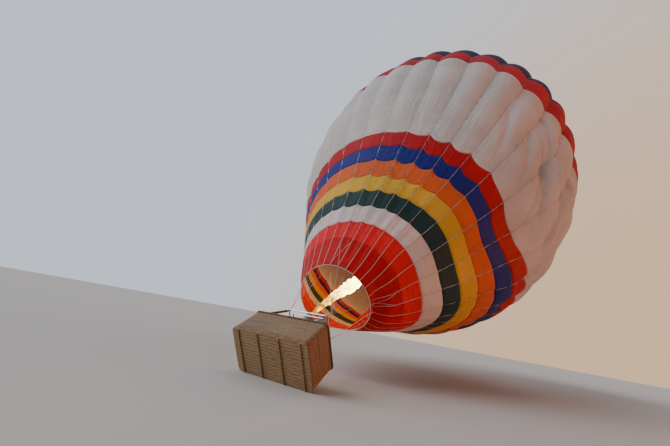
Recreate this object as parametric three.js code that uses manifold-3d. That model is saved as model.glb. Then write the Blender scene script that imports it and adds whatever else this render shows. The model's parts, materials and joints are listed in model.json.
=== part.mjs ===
// Hot air balloon, part way up as it fills: the envelope leans forward on the rising air and bends
// upward, and the basket is still tipped back on its lower edge.
// Millimetres. +Z is up and +X is the heading from the basket to the crown. The origin is the centre
// of the envelope's widest circle. The part is mirror-symmetric about the XZ plane.
import * as THREE from "three";
import { mergeVertices } from "three/addons/utils/BufferGeometryUtils.js";
import Module from "manifold-3d";

const wasm = await Module();
wasm.setup();

// Envelope
const WIDEST_RADIUS = 10250;
const MOUTH_RADIUS = 1610;
const CONE_ANGLE = THREE.MathUtils.degToRad(31.2); // half angle of the cone above the mouth
const LOWER_ELLIPSE = 16960; // half length of the ellipse that joins the cone to the widest circle
const CROWN_HEIGHT = 8825; // half length of the ellipse above the widest circle
const MOUTH_ELEVATION = THREE.MathUtils.degToRad(31.5); // centreline's climb at the mouth
const CROWN_ELEVATION = THREE.MathUtils.degToRad(51); // and from the widest circle on
const GORES = 30;
const SHELL = 10; // wall thickness of every fabric panel
const GORE_BULGE = 0.12; // height of a gore's bulge over its width
const BULGE_GROWTH = 5500; // growth of the radius over which the bulge develops above the mouth
const GAP = 0.3; // between pieces that touch

// The mouth's underside hangs slack and shallow: by how much at its lowest tape, how sharply that
// fades round the mouth, and where along the centreline it starts to fade and ends
const SLACK = { depth: 550, sharpness: 4, full: 4000, end: 8500 };

// Crown: the parachute vent closes the top opening from inside, under the straps of the crown ring
const VENT_OPENING = 2700;
const VENT_RADIUS = 3100;
const VENT_ROWS = [3100, 2700, 1500];
const STRAP_ROWS = [3100, 2700, 1500, 240];
const STRAP_WIDTH = 50;
const STRAP_THICKNESS = 6;
const CROWN_RING = { radius: 240, tube: 16 };

// Mouth
const HEM_TUBE = 12;
const HEM_SIDES = 6;

// Basket, in the rig's own frame: +Z from its underside to the mouth, Y along its length
const MOUTH_HEIGHT = 3900;
const BASKET = { length: 2800, width: 1500, corner: 140, wall: 45, top: 1110 };
const SKID = { width: 70, height: 45, length: 1400, places: [-1150, -400, 400, 1150] };
const FLOOR_THICKNESS = 18;
const RIM = { height: 80, width: 110, soft: 24 };
const PARTITION = { thickness: 40, top: 1010, cross: 500 };
const TANK = { radius: 165, height: 790, x: 510, places: [700, 1040] };

// Burner frame, gimbal and burners
const FRAME = { halfX: 450, halfY: 800, corner: 90, tube: 22, height: 2110 };
const GIMBAL = { halfX: 330, halfY: 640, corner: 60, tube: 18 };
const PIN = { radius: 12, hole: 12.8, block: 34, end: 2 };
const BRIDGE = { width: 40, depth: 40, length: 640, drop: 40 };
const BURNER = { spread: 260, radius: 190, height: 390, block: 120, blockHeight: 60 };
const UPRIGHT = { radius: 32, sides: 8, inset: 76, straight: 1150 };

// Rigging
const LUG = { width: 76, height: 96, thickness: 12, hole: 17, holeSides: 20, holeHeight: 66 };
// bendRise is how far the bend lifts the stock from the hole's edge at the lug's faces
const KARABINER = { halfWidth: 30, halfLength: 62, tube: 7, straight: 1, bendRise: 1.35 };
const WIRE_RADIUS = 5;
const STAY_TAPES = [6, 54]; // degrees from the +Y side of the two tapes that each corner's stays reach

// One row per colour band: name, colour, its upper edge along the centreline, rows of facets in it
const BANDS = [
  { name: "dark_red", colour: 0x9c1f22, top: 1230, rows: 1 },
  { name: "red", colour: 0xc02a2e, top: 2173, rows: 1 },
  { name: "white_low", colour: 0xd8ccca, top: 3106, rows: 1 },
  { name: "green", colour: 0x27403a, top: 4049, rows: 1 },
  { name: "yellow", colour: 0xd9a62c, top: 5012, rows: 1 },
  { name: "orange", colour: 0xcf6a2c, top: 6068, rows: 1 },
  { name: "blue", colour: 0x222a66, top: 7073, rows: 1 },
  { name: "red_middle", colour: 0xb0282e, top: 8077, rows: 1 },
  { name: "white_1", colour: 0xcfc6c4, top: 10390, rows: 2 },
  { name: "white_2", colour: 0xcfc6c4, top: 12700, rows: 2 },
  { name: "white_3", colour: 0xcfc6c4, top: 15080, rows: 2 },
  { name: "white_4", colour: 0xcfc6c4, top: 17456, rows: 2 },
  { name: "red_upper", colour: 0xb0343a, top: 19475, rows: 1 },
];
const CROWN_COLOUR = 0x2a2f5c;
const CROWN_RADII = [10250, 9900, 8800, 7000, 5000]; // its rows above the widest circle

const SLOTS = {
  crown: [CROWN_COLOUR, 0.75, 0],
  vent: [0xb0282e, 0.75, 0],
  tape: [0xe6e2da, 0.8, 0],
  steel: [0xb9bcc0, 0.35, 1],
  wicker: [0xb98a4e, 0.8, 0],
  leather: [0x5a3320, 0.6, 0],
  timber: [0x8f6a42, 0.7, 0],
  tank: [0xa9adb0, 0.4, 1],
};
const material = (colour, roughness, metalness) =>
  new THREE.MeshStandardMaterial({ color: colour, roughness, metalness });
const looks = Object.fromEntries(
  Object.entries(SLOTS).map(([name, values]) => [name, material(...values)]),
);

const balloon = new THREE.Group();
const rig = new THREE.Group();
balloon.add(rig);

function place(parent, name, geometry, look) {
  const mesh = new THREE.Mesh(geometry, look);
  mesh.name = name;
  parent.add(mesh);
  return mesh;
}

// Joining and cutting
function solid(geometry) {
  const bare = geometry.index ? geometry.toNonIndexed() : geometry.clone();
  bare.deleteAttribute("normal");
  bare.deleteAttribute("uv");
  const merged = mergeVertices(bare, 1e-3);
  return new wasm.Manifold(
    new wasm.Mesh({
      numProp: 3,
      vertProperties: merged.attributes.position.array,
      triVerts: new Uint32Array(merged.index.array),
    }),
  );
}

function surface(body) {
  const { vertProperties, triVerts } = body.getMesh();
  const geometry = new THREE.BufferGeometry();
  geometry.setAttribute("position", new THREE.BufferAttribute(vertProperties, 3));
  geometry.setIndex(new THREE.BufferAttribute(triVerts, 1));
  geometry.computeVertexNormals();
  return geometry;
}

const join = (...parts) => parts.map(solid).reduce((all, next) => all.add(next));

// Envelope: where the centreline ends, and its place and climb at a distance s from the mouth
const tangentTurn = Math.atan((LOWER_ELLIPSE * Math.tan(CONE_ANGLE)) / WIDEST_RADIUS);
const CONE_LENGTH =
  (WIDEST_RADIUS * Math.cos(tangentTurn) - MOUTH_RADIUS) / Math.tan(CONE_ANGLE);
const LOWER_LENGTH = CONE_LENGTH + LOWER_ELLIPSE * Math.sin(tangentTurn);
const BEND_RADIUS = LOWER_LENGTH / (CROWN_ELEVATION - MOUTH_ELEVATION);

function spine(s) {
  const bent = Math.min(s, LOWER_LENGTH);
  const climb = MOUTH_ELEVATION + bent / BEND_RADIUS;
  const along = new THREE.Vector3(Math.cos(climb), 0, Math.sin(climb));
  const up = new THREE.Vector3(-Math.sin(climb), 0, Math.cos(climb));
  const centre = new THREE.Vector3(
    BEND_RADIUS * (Math.sin(climb) - Math.sin(CROWN_ELEVATION)),
    0,
    BEND_RADIUS * (Math.cos(CROWN_ELEVATION) - Math.cos(climb)),
  ).addScaledVector(along, s - bent);
  return { centre, along, up };
}

// The profile's radius at s and its outward normal: a cone, then two half ellipses
function profile(s) {
  if (s < CONE_LENGTH) {
    return {
      radius: MOUTH_RADIUS + s * Math.tan(CONE_ANGLE),
      normalAlong: -Math.sin(CONE_ANGLE),
      normalOut: Math.cos(CONE_ANGLE),
    };
  }
  const half = s < LOWER_LENGTH ? LOWER_ELLIPSE : CROWN_HEIGHT;
  const sine = THREE.MathUtils.clamp((s - LOWER_LENGTH) / half, -1, 1);
  const cosine = Math.sqrt(1 - sine * sine);
  const normal = new THREE.Vector2(WIDEST_RADIUS * sine, half * cosine).normalize();
  return { radius: WIDEST_RADIUS * cosine, normalAlong: normal.x, normalOut: normal.y };
}

const crownAt = (radius) =>
  LOWER_LENGTH + CROWN_HEIGHT * Math.sqrt(1 - (radius / WIDEST_RADIUS) ** 2);

// How far the slack underside lies inside the round profile at s and a turn from the +Y side
function slackAt(s, turn) {
  const round = ((1 - Math.sin(turn)) / 2) ** SLACK.sharpness;
  return SLACK.depth * round * (1 - THREE.MathUtils.smoothstep(s, SLACK.full, SLACK.end));
}

// How far the gores have bulged out there, from 0 to 1
function bulgeShare(s, radius) {
  const low = (radius - MOUTH_RADIUS) / BULGE_GROWTH;
  const high = s > LOWER_LENGTH ? (radius - VENT_RADIUS) / (0.35 * WIDEST_RADIUS) : 1;
  return THREE.MathUtils.clamp(Math.min(low, high), 0, 1);
}

// A point of the envelope: column 0 is the tape at the top, odd columns are the middles of gores,
// and depth is measured inward from the outer face
const COLUMNS = 2 * GORES;
function skin(s, column, depth) {
  const { centre, along, up } = spine(s);
  const { radius, normalAlong, normalOut } = profile(s);
  const middle = column % 2 === 1 ? 1 : 0;
  const bulge = 1 + ((middle * GORE_BULGE * 2 * Math.PI) / GORES) * bulgeShare(s, radius);
  const turn = Math.PI / 2 + (2 * Math.PI * column) / COLUMNS;
  const out = (radius - depth * normalOut) * bulge - slackAt(s, turn);
  return centre
    .addScaledVector(along, -depth * normalAlong)
    .add(new THREE.Vector3(0, out * Math.cos(turn), 0))
    .addScaledVector(up, out * Math.sin(turn));
}

// A closed body from two skins of the same rows, joined at their ends. A pole closes the last row.
function shell(rows, depths, pole) {
  const points = [];
  const faces = [];
  const rings = depths.map((depth) =>
    rows.map((s) =>
      Array.from({ length: COLUMNS }, (_, column) => points.push(skin(s, column, depth)) - 1),
    ),
  );
  const quad = (a, b, c, d) => faces.push(a, b, c, a, c, d);
  const strip = (low, high) =>
    low.forEach((_, j) => {
      const k = (j + 1) % COLUMNS;
      quad(low[j], low[k], high[k], high[j]);
    });
  const [outer, inner] = rings;
  const last = rows.length - 1;
  for (let i = 0; i < last; i++) {
    strip(outer[i], outer[i + 1]);
    strip(inner[i + 1], inner[i]);
  }
  strip(inner[0], outer[0]);
  if (pole === undefined) {
    strip(outer[last], inner[last]);
  } else {
    const tips = depths.map((depth) => points.push(skin(pole, 0, depth)) - 1);
    outer[last].forEach((a, j) => faces.push(a, outer[last][(j + 1) % COLUMNS], tips[0]));
    inner[last].forEach((a, j) => faces.push(inner[last][(j + 1) % COLUMNS], a, tips[1]));
  }
  return bufferOf(points, faces);
}

function bufferOf(points, faces) {
  const geometry = new THREE.BufferGeometry().setFromPoints(points);
  geometry.setIndex(faces);
  geometry.computeVertexNormals();
  return geometry;
}

function evenRows(from, to, count) {
  return Array.from({ length: count + 1 }, (_, i) => from + ((to - from) * i) / count);
}

let bandStart = 0;
for (const band of BANDS) {
  const rows = evenRows(bandStart + GAP / 2, band.top - GAP / 2, band.rows);
  place(balloon, `envelope_${band.name}`, shell(rows, [0, SHELL]), material(band.colour, 0.75, 0));
  bandStart = band.top;
}
const crownRows = [bandStart + GAP / 2, ...CROWN_RADII.map(crownAt)];
const ventRows = [VENT_RADIUS, VENT_OPENING].map(crownAt);
const crownApex = LOWER_LENGTH + CROWN_HEIGHT;
place(balloon, "envelope_crown", shell([...crownRows, ...ventRows], [0, SHELL]), looks.crown);
place(
  balloon,
  "parachute_vent",
  shell(VENT_ROWS.map(crownAt), [SHELL + GAP, 2 * SHELL + GAP], crownApex),
  looks.vent,
);

// A strap lies along one tape of the crown, over the vent
function strap(tape) {
  const points = [];
  const faces = [];
  const turn = Math.PI / 2 + (2 * Math.PI * tape) / GORES;
  const { up } = spine(crownApex);
  const side = new THREE.Vector3(0, -Math.sin(turn), 0).addScaledVector(up, Math.cos(turn));
  for (const radius of STRAP_ROWS) {
    for (const [across, depth] of [
      [-1, -GAP],
      [1, -GAP],
      [1, -GAP - STRAP_THICKNESS],
      [-1, -GAP - STRAP_THICKNESS],
    ]) {
      const point = skin(crownAt(radius), 2 * tape, depth);
      points.push(point.addScaledVector(side, (across * STRAP_WIDTH) / 2));
    }
  }
  const sections = STRAP_ROWS.length;
  for (let i = 0; i < sections - 1; i++) {
    for (let j = 0; j < 4; j++) {
      const [a, b] = [4 * i + j, 4 * i + ((j + 1) % 4)];
      faces.push(a, a + 4, b, b, a + 4, b + 4);
    }
  }
  const end = 4 * (sections - 1);
  faces.push(0, 1, 2, 0, 2, 3, end, end + 2, end + 1, end, end + 3, end + 2);
  return bufferOf(points, faces);
}

function crownRing() {
  const { along, up } = spine(crownApex);
  const { radius, tube } = CROWN_RING;
  const ring = new THREE.TorusGeometry(radius, tube, 6, GORES);
  const side = new THREE.Vector3(0, 1, 0);
  const middle = spine(crownAt(radius)).centre.addScaledVector(along, tube / 2);
  ring.applyMatrix4(new THREE.Matrix4().makeBasis(side, up, along).setPosition(middle));
  const straps = Array.from({ length: GORES }, (_, tape) => strap(tape));
  return surface(join(ring, ...straps));
}
place(balloon, "crown_ring", crownRing(), looks.tape);

// The hem: a rolled edge with a flat towards the first band
const hemDrop = HEM_TUBE * Math.cos(Math.PI / HEM_SIDES) + GAP / 2;
function hem(tube) {
  const points = [];
  const faces = [];
  const { centre, along, up } = spine(-hemDrop);
  for (let column = 0; column < COLUMNS; column++) {
    const turn = Math.PI / 2 + (2 * Math.PI * column) / COLUMNS;
    for (let k = 0; k < HEM_SIDES; k++) {
      const lean = ((k + 0.5) * 2 * Math.PI) / HEM_SIDES + Math.PI / 2;
      const out = MOUTH_RADIUS - slackAt(0, turn) - SHELL / 2 + tube * Math.cos(lean);
      points.push(
        centre
          .clone()
          .addScaledVector(along, tube * Math.sin(lean))
          .add(new THREE.Vector3(0, out * Math.cos(turn), 0))
          .addScaledVector(up, out * Math.sin(turn)),
      );
      const next = ((column + 1) % COLUMNS) * HEM_SIDES;
      const here = column * HEM_SIDES;
      const k2 = (k + 1) % HEM_SIDES;
      faces.push(here + k, next + k, next + k2, here + k, next + k2, here + k2);
    }
  }
  return bufferOf(points, faces);
}
place(balloon, "mouth_hem", hem(HEM_TUBE), looks.tape);

// The rig stands on the mouth's own axis, its underside MOUTH_HEIGHT before the mouth
const mouth = spine(0);
rig.rotation.y = Math.PI / 2 - MOUTH_ELEVATION;
rig.position.copy(mouth.centre).addScaledVector(mouth.along, -MOUTH_HEIGHT);
rig.updateMatrixWorld(true);
const toRig = rig.matrixWorld.clone().invert();

function box(x, y, z, centreX = 0, centreY = 0, centreZ = 0) {
  return new THREE.BoxGeometry(x, y, z).translate(centreX, centreY, centreZ);
}

function roundedRectangle(halfX, halfY, corner, Kind = THREE.Shape) {
  const outline = new Kind();
  const quarter = Math.PI / 2;
  [
    [halfX - corner, corner - halfY, -1],
    [halfX - corner, halfY - corner, 0],
    [corner - halfX, halfY - corner, 1],
    [corner - halfX, corner - halfY, 2],
  ].forEach(([x, y, turn]) => {
    outline.absarc(x, y, corner, turn * quarter, (turn + 1) * quarter, false);
  });
  outline.closePath();
  return outline;
}

function slabRing(outer, inner, depth, bevel = 0, curveSegments = 3) {
  const shape = roundedRectangle(...outer);
  shape.holes.push(roundedRectangle(...inner, THREE.Path));
  return new THREE.ExtrudeGeometry(shape, {
    depth: depth - 2 * bevel,
    bevelEnabled: bevel > 0,
    bevelThickness: bevel,
    bevelSize: bevel,
    bevelSegments: 1,
    curveSegments,
  }).translate(0, 0, bevel);
}

// A rounded rectangle of tube with an eight-sided section, centred on the XY plane
function tubeLoop(halfX, halfY, corner, radius, curveSegments) {
  const flat = radius * Math.tan(Math.PI / 8);
  return slabRing(
    [halfX + flat, halfY + flat, corner + flat],
    [halfX - flat, halfY - flat, corner - flat],
    2 * radius,
    radius - flat,
    curveSegments,
  ).translate(0, 0, -radius);
}

// Basket
const floorTop = SKID.height + FLOOR_THICKNESS;
const { length, width, corner, wall } = BASKET;
const outside = [width / 2, length / 2, corner];
const inside = [width / 2 - wall, length / 2 - wall, corner - wall];

function basketFloor() {
  const board = new THREE.ExtrudeGeometry(roundedRectangle(...outside), {
    depth: FLOOR_THICKNESS,
    bevelEnabled: false,
    curveSegments: 3,
  }).translate(0, 0, SKID.height);
  const skids = SKID.places.map((y) =>
    box(SKID.length, SKID.width, SKID.height + 1, 0, y, (SKID.height + 1) / 2),
  );
  return surface(join(board, ...skids));
}
place(rig, "basket_floor", basketFloor(), looks.timber);
place(
  rig,
  "basket_wall",
  slabRing(outside, inside, BASKET.top - floorTop - GAP).translate(0, 0, floorTop + GAP),
  looks.wicker,
);
const rimSpread = (RIM.width - wall) / 2 - RIM.soft;
place(
  rig,
  "basket_rim",
  slabRing(
    [width / 2 + rimSpread, length / 2 + rimSpread, corner + rimSpread],
    [width / 2 - wall - rimSpread, length / 2 - wall - rimSpread, corner - wall - rimSpread],
    RIM.height,
    RIM.soft,
  ).translate(0, 0, BASKET.top + GAP),
  looks.leather,
);

function basketPartition() {
  const { thickness, top, cross } = PARTITION;
  const height = top - floorTop - GAP;
  const middle = floorTop + GAP + height / 2;
  const across = box(width - 2 * wall - 2 * GAP, thickness, height, 0, cross, middle);
  const start = -length / 2 + wall + GAP;
  const along = box(thickness, cross - start, height, 0, (cross + start) / 2, middle);
  return surface(join(across, along));
}
place(rig, "basket_partition", basketPartition(), looks.wicker);

// Tanks stand in the pilot's compartment: radius share and height share of each profile point
const TANK_PROFILE = [
  [0, 0],
  [0.88, 0],
  [1, 0.05],
  [1, 0.83],
  [0.85, 0.9],
  [0.5, 0.93],
  [0.5, 1],
  [0, 1],
];
const lathe = (shares, radius, height, sides) =>
  new THREE.LatheGeometry(
    shares.map(([across, up]) => new THREE.Vector2(across * radius, up * height)),
    sides,
  ).rotateX(Math.PI / 2);
let tankNumber = 1;
for (const y of TANK.places) {
  for (const x of [TANK.x, -TANK.x]) {
    const tank = lathe(TANK_PROFILE, TANK.radius, TANK.height, 14);
    tank.translate(x, y, floorTop + GAP);
    place(rig, `fuel_tank_${tankNumber++}`, tank, looks.tank);
  }
}

// Burner frame with a lug on each corner and two bearing blocks for the gimbal
const corners = [
  { name: "upper_left", x: -1, y: 1 },
  { name: "upper_right", x: -1, y: -1 },
  { name: "lower_left", x: 1, y: 1 },
  { name: "lower_right", x: 1, y: -1 },
];
const cornerShift = FRAME.corner * (1 - Math.SQRT1_2);
const cornerPoint = ({ x, y }) =>
  new THREE.Vector3(
    x * (FRAME.halfX - cornerShift),
    y * (FRAME.halfY - cornerShift),
    FRAME.height,
  );
const cylinder = (radius, depth, sides) => new THREE.CylinderGeometry(radius, radius, depth, sides);

// A lug stands in the plane through the rig's axis and its corner
function lugAt(spot, geometry) {
  const point = cornerPoint(spot);
  const turn = Math.atan2(point.y, point.x);
  return geometry.rotateZ(turn).translate(point.x, point.y, point.z);
}

function bearing(geometry, half, tube, axis, side, height) {
  const reach = side * (half - tube - PIN.block / 2 + 2);
  const [x, y] = axis === "x" ? [reach, 0] : [0, reach];
  return geometry.translate(x, y, height);
}

// The hole of a bearing is cut from its block alone, so it is blind towards the tube
function bearingPair(half, tube, axis, height) {
  return [1, -1].map((side) => {
    const block = box(4 * PIN.hole, 4 * PIN.hole, PIN.block);
    const hole = cylinder(PIN.hole, PIN.block, 12).rotateX(Math.PI / 2);
    hole.translate(0, 0, -3);
    for (const geometry of [block, hole]) {
      if (axis === "x") geometry.rotateY((side * Math.PI) / 2);
      else geometry.rotateX((-side * Math.PI) / 2);
      bearing(geometry, half, tube, axis, side, height);
    }
    return [solid(block), solid(hole)];
  });
}

function burnerFrame() {
  let body = solid(
    tubeLoop(FRAME.halfX, FRAME.halfY, FRAME.corner, FRAME.tube, 3).translate(0, 0, FRAME.height),
  );
  for (const spot of corners) {
    const lug = box(LUG.width, LUG.thickness, LUG.height, 0, 0, LUG.height / 2);
    const hole = cylinder(LUG.hole, 2 * LUG.thickness, LUG.holeSides).translate(0, 0, LUG.holeHeight);
    body = body.add(solid(lugAt(spot, lug))).subtract(solid(lugAt(spot, hole)));
  }
  for (const [block, hole] of bearingPair(FRAME.halfY, FRAME.tube, "y", FRAME.height)) {
    body = body.add(block).subtract(hole);
  }
  return surface(body);
}
place(rig, "burner_frame", burnerFrame(), looks.steel);

function gimbalRing() {
  const { halfX, halfY, tube } = GIMBAL;
  let body = solid(tubeLoop(halfX, halfY, GIMBAL.corner, tube, 2));
  const pinEnd = FRAME.halfY - FRAME.tube - PIN.end;
  for (const side of [1, -1]) {
    const pin = cylinder(PIN.radius, pinEnd - halfY, 12);
    body = body.add(solid(pin.translate(0, (side * (pinEnd + halfY)) / 2, 0)));
  }
  for (const [block, hole] of bearingPair(halfX, tube, "x", 0)) {
    body = body.add(block).subtract(hole);
  }
  return surface(body);
}
place(rig, "gimbal_ring", gimbalRing(), looks.steel).position.z = FRAME.height;

// The bridge turns in the gimbal on its two pins, and its crossbar carries both burners
function burnerBridge() {
  const { width: thick, depth, drop } = BRIDGE;
  const bearingFace = GIMBAL.halfX - GIMBAL.tube - PIN.block;
  const barHalf = bearingFace - 2 * PIN.end;
  const pinHalf = GIMBAL.halfX - GIMBAL.tube - PIN.end;
  const bar = box(2 * barHalf, thick, depth);
  const pins = cylinder(PIN.radius, 2 * pinHalf, 12).rotateZ(Math.PI / 2);
  const crossbar = box(thick, BRIDGE.length, depth, 0, 0, -drop + 1);
  return surface(join(bar, pins, crossbar));
}
place(rig, "burner_bridge", burnerBridge(), looks.steel).position.z = FRAME.height;

// A burner: can outside, stacked turns of coil inside, jet block in the middle
const COIL_TURNS = 3;
function burner() {
  const { radius, height } = BURNER;
  const coilFoot = 0.3;
  const pitch = (0.9 - coilFoot) / COIL_TURNS;
  const coil = Array.from({ length: COIL_TURNS }, (_, i) => {
    const top = 0.9 - i * pitch;
    return [
      [0.92, top],
      [0.8, top - 0.3 * pitch],
      [0.8, top - 0.7 * pitch],
    ];
  }).flat();
  const outline = [
    [0, 0],
    [0.6, 0],
    [1, 0.16],
    [1, 1],
    [0.96, 1],
    ...coil,
    [0.8, 0.16],
    [0.4, 0.16],
    [0.4, 0.3],
    [0, 0.3],
  ];
  const can = lathe(outline, radius, height, 16).translate(0, 0, BURNER.blockHeight - 1);
  const { block, blockHeight } = BURNER;
  return surface(join(can, box(block, block, blockHeight, 0, 0, blockHeight / 2)));
}
const crossbarTop = FRAME.height - BRIDGE.drop + 1 + BRIDGE.depth / 2;
for (const [name, side] of [["left", 1], ["right", -1]]) {
  const piece = place(rig, `burner_${name}`, burner(), looks.steel);
  piece.position.set(0, side * BURNER.spread, crossbarTop + GAP);
}

// Uprights rise from the floor in the basket's corners, then lean in to the burner frame
function upright(spot) {
  const foot = new THREE.Vector3(
    spot.x * (width / 2 - wall - UPRIGHT.inset),
    spot.y * (length / 2 - wall - UPRIGHT.inset),
    floorTop + GAP,
  );
  const bend = foot.clone().setZ(UPRIGHT.straight);
  const head = cornerPoint(spot).setZ(FRAME.height - FRAME.tube);
  const path = new THREE.CurvePath();
  const start = bend.clone().lerp(foot, 0.12);
  const end = bend.clone().lerp(head, 0.12);
  path.add(new THREE.LineCurve3(foot, start));
  path.add(new THREE.QuadraticBezierCurve3(start, bend, end));
  path.add(new THREE.LineCurve3(end, head));
  const section = new THREE.Shape().absarc(0, 0, UPRIGHT.radius, 0, 2 * Math.PI);
  return new THREE.ExtrudeGeometry(section, {
    steps: 12,
    curveSegments: UPRIGHT.sides / 2,
    extrudePath: path,
    bevelEnabled: false,
  });
}
const fatFrame = solid(
  tubeLoop(FRAME.halfX, FRAME.halfY, FRAME.corner, FRAME.tube + GAP, 3).translate(
    0,
    0,
    FRAME.height,
  ),
);
for (const spot of corners) {
  place(rig, `upright_${spot.name}`, surface(solid(upright(spot)).subtract(fatFrame)), looks.leather);
}

// Karabiners hang in the lugs, drawn towards the mouth, and each carries two stays
const hemInRig = solid(hem(HEM_TUBE + GAP).applyMatrix4(toRig));
for (const spot of corners) {
  const point = cornerPoint(spot);
  const hole = point.clone().setZ(point.z + LUG.holeHeight);
  const ends = STAY_TAPES.map((degrees) => {
    const [across, down] = [
      spot.y * Math.cos(THREE.MathUtils.degToRad(degrees)),
      spot.x * Math.sin(THREE.MathUtils.degToRad(degrees)),
    ];
    const out = MOUTH_RADIUS - slackAt(0, Math.atan2(-down, across)) - SHELL / 2;
    return new THREE.Vector3(
      out * down,
      out * across,
      MOUTH_HEIGHT - hemDrop,
    );
  });
  const pull = ends[0].clone().add(ends[1]).multiplyScalar(0.5).sub(hole).normalize();
  const radial = new THREE.Vector3(point.x, point.y, 0).normalize();
  const tangent = new THREE.Vector3(-radial.y, radial.x, 0);
  const long = pull.clone().addScaledVector(tangent, -pull.dot(tangent)).normalize();
  const { halfWidth, halfLength, tube, straight, bendRise } = KARABINER;
  const slack = LUG.hole * Math.cos(Math.PI / LUG.holeSides) - tube - bendRise - GAP;
  const middle = hole.clone().addScaledVector(long, slack + halfLength);
  const basis = new THREE.Matrix4().makeBasis(tangent, long, tangent.clone().cross(long));
  const ring = (radius) => tubeLoop(halfWidth, halfLength, halfWidth - straight, radius, 2);
  const karabiner = place(rig, `karabiner_${spot.name}`, ring(tube), looks.steel);
  karabiner.quaternion.setFromRotationMatrix(basis);
  karabiner.position.copy(middle);
  const fatRing = solid(ring(tube + GAP).applyMatrix4(basis.clone().setPosition(middle)));
  ends.forEach((end, number) => {
    const lean = (number === 0 ? 1 : -1) * spot.x * spot.y;
    const start = middle
      .clone()
      .addScaledVector(long, halfLength)
      .addScaledVector(tangent, lean * 0.3 * halfWidth);
    const wire = cylinder(WIRE_RADIUS, start.distanceTo(end), 6);
    const along = end.clone().sub(start).normalize();
    wire.applyQuaternion(
      new THREE.Quaternion().setFromUnitVectors(new THREE.Vector3(0, 1, 0), along),
    );
    const centre = start.clone().add(end).multiplyScalar(0.5);
    wire.translate(centre.x, centre.y, centre.z);
    const cut = solid(wire).subtract(fatRing).subtract(hemInRig);
    place(rig, `stay_${spot.name}_${number + 1}`, surface(cut), looks.steel);
  });
}

export default balloon;
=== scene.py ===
"""Hot air balloon part way up as it fills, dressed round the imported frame.

Metres. +Z is up, +X is the heading from the basket to the crown, +Y is left, and the origin is the
centre of the envelope's widest circle. The basket, the burners and the mouth share one straight
axis, the rig axis, which climbs at 31.5 degrees from the tipped basket.
"""

import json
import logging
from dataclasses import dataclass
from enum import Enum

import bmesh
import bpy
import numpy as np
from mathutils import Matrix, Vector


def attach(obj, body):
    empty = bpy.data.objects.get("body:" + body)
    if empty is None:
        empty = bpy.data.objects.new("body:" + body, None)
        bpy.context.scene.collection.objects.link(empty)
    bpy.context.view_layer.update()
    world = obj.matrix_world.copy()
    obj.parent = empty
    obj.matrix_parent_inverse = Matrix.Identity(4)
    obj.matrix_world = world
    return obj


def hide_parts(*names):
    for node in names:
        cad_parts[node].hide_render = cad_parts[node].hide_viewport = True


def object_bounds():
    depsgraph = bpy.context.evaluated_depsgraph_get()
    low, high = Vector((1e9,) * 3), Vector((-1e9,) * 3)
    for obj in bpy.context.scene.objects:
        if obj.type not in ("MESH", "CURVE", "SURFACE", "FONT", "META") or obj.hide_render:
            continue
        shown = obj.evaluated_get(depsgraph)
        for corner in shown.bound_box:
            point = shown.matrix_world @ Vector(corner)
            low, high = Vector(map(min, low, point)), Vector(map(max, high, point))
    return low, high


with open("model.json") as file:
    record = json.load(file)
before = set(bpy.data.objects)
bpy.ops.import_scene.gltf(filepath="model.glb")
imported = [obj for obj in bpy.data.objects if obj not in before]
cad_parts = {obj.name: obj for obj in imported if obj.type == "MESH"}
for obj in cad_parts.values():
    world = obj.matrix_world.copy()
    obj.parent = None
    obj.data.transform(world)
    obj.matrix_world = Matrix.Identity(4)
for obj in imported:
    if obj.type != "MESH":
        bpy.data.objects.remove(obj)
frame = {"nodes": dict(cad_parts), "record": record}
CAD_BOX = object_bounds()

log = logging.getLogger("balloon")
Array = np.ndarray
Material = bpy.types.Material
Node = bpy.types.Node
Object = bpy.types.Object
Socket = bpy.types.NodeSocket
Colour = tuple[float, float, float]
Place = tuple[float, float, float]
Span = tuple[float, float]
TAU = 2.0 * np.pi


# ---- numbers and curves
def unit(vectors: Array) -> Array:
    """Returns vectors scaled to length 1 along their last axis."""
    return vectors / np.maximum(np.linalg.norm(vectors, axis=-1, keepdims=True), 1e-12)


def smooth_step(low: float, high: float, values: Array) -> Array:
    """Eases from 0 at low to 1 at high.

    Args:
        low: Value at which the result leaves 0.
        high: Value at which it reaches 1; it may lie below low.
        values: Where to evaluate it.

    Returns:
        3t^2 - 2t^3, where t is the clamped share of the way from low to high.
    """
    share = np.clip((values - low) / (high - low), 0.0, 1.0)
    return share * share * (3.0 - 2.0 * share)


def bell(values: Array, centre: float | Array, spread: float | Array) -> Array:
    """Returns the bell curve exp(-((values - centre) / spread)^2)."""
    return np.exp(-(((values - centre) / spread) ** 2))


def parabola(share: Array) -> Array:
    """Returns 1 - (1 - 2 share)^2, which is 0 at the shares 0 and 1 and 1 half way."""
    return 1.0 - (1.0 - 2.0 * share) ** 2


def rounded_power(values: Array, power: float) -> Array:
    """Returns the size of values raised to power, with their sign."""
    return np.sign(values) * np.abs(values) ** power


def angle_gap(turn: Array, centre: float | Array) -> Array:
    """Returns the signed angle from centre to turn, in radians between -pi and pi."""
    return (turn - centre + np.pi) % TAU - np.pi


def soft_noise(across: Array, along: Array, seed: int, waves: int = 7) -> Array:
    """A smooth wavy field, the same on each run.

    Args:
        across: First parameter, in radians round a closed piece.
        along: Second parameter, in any unit.
        seed: Chooses the waves.
        waves: How many sine waves are summed.

    Returns:
        The sum of sines of whole-number frequencies across and real ones along, divided by
        the square root of their number, so that it is about 1 high.
    """
    random = np.random.default_rng(seed)
    total = np.zeros(np.broadcast(across, along).shape)
    for _ in range(waves):
        turns = random.integers(1, 9)
        total += np.sin(turns * across + random.uniform(0.4, 2.4) * along + random.uniform(0, TAU))
    return total / np.sqrt(waves)


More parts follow.
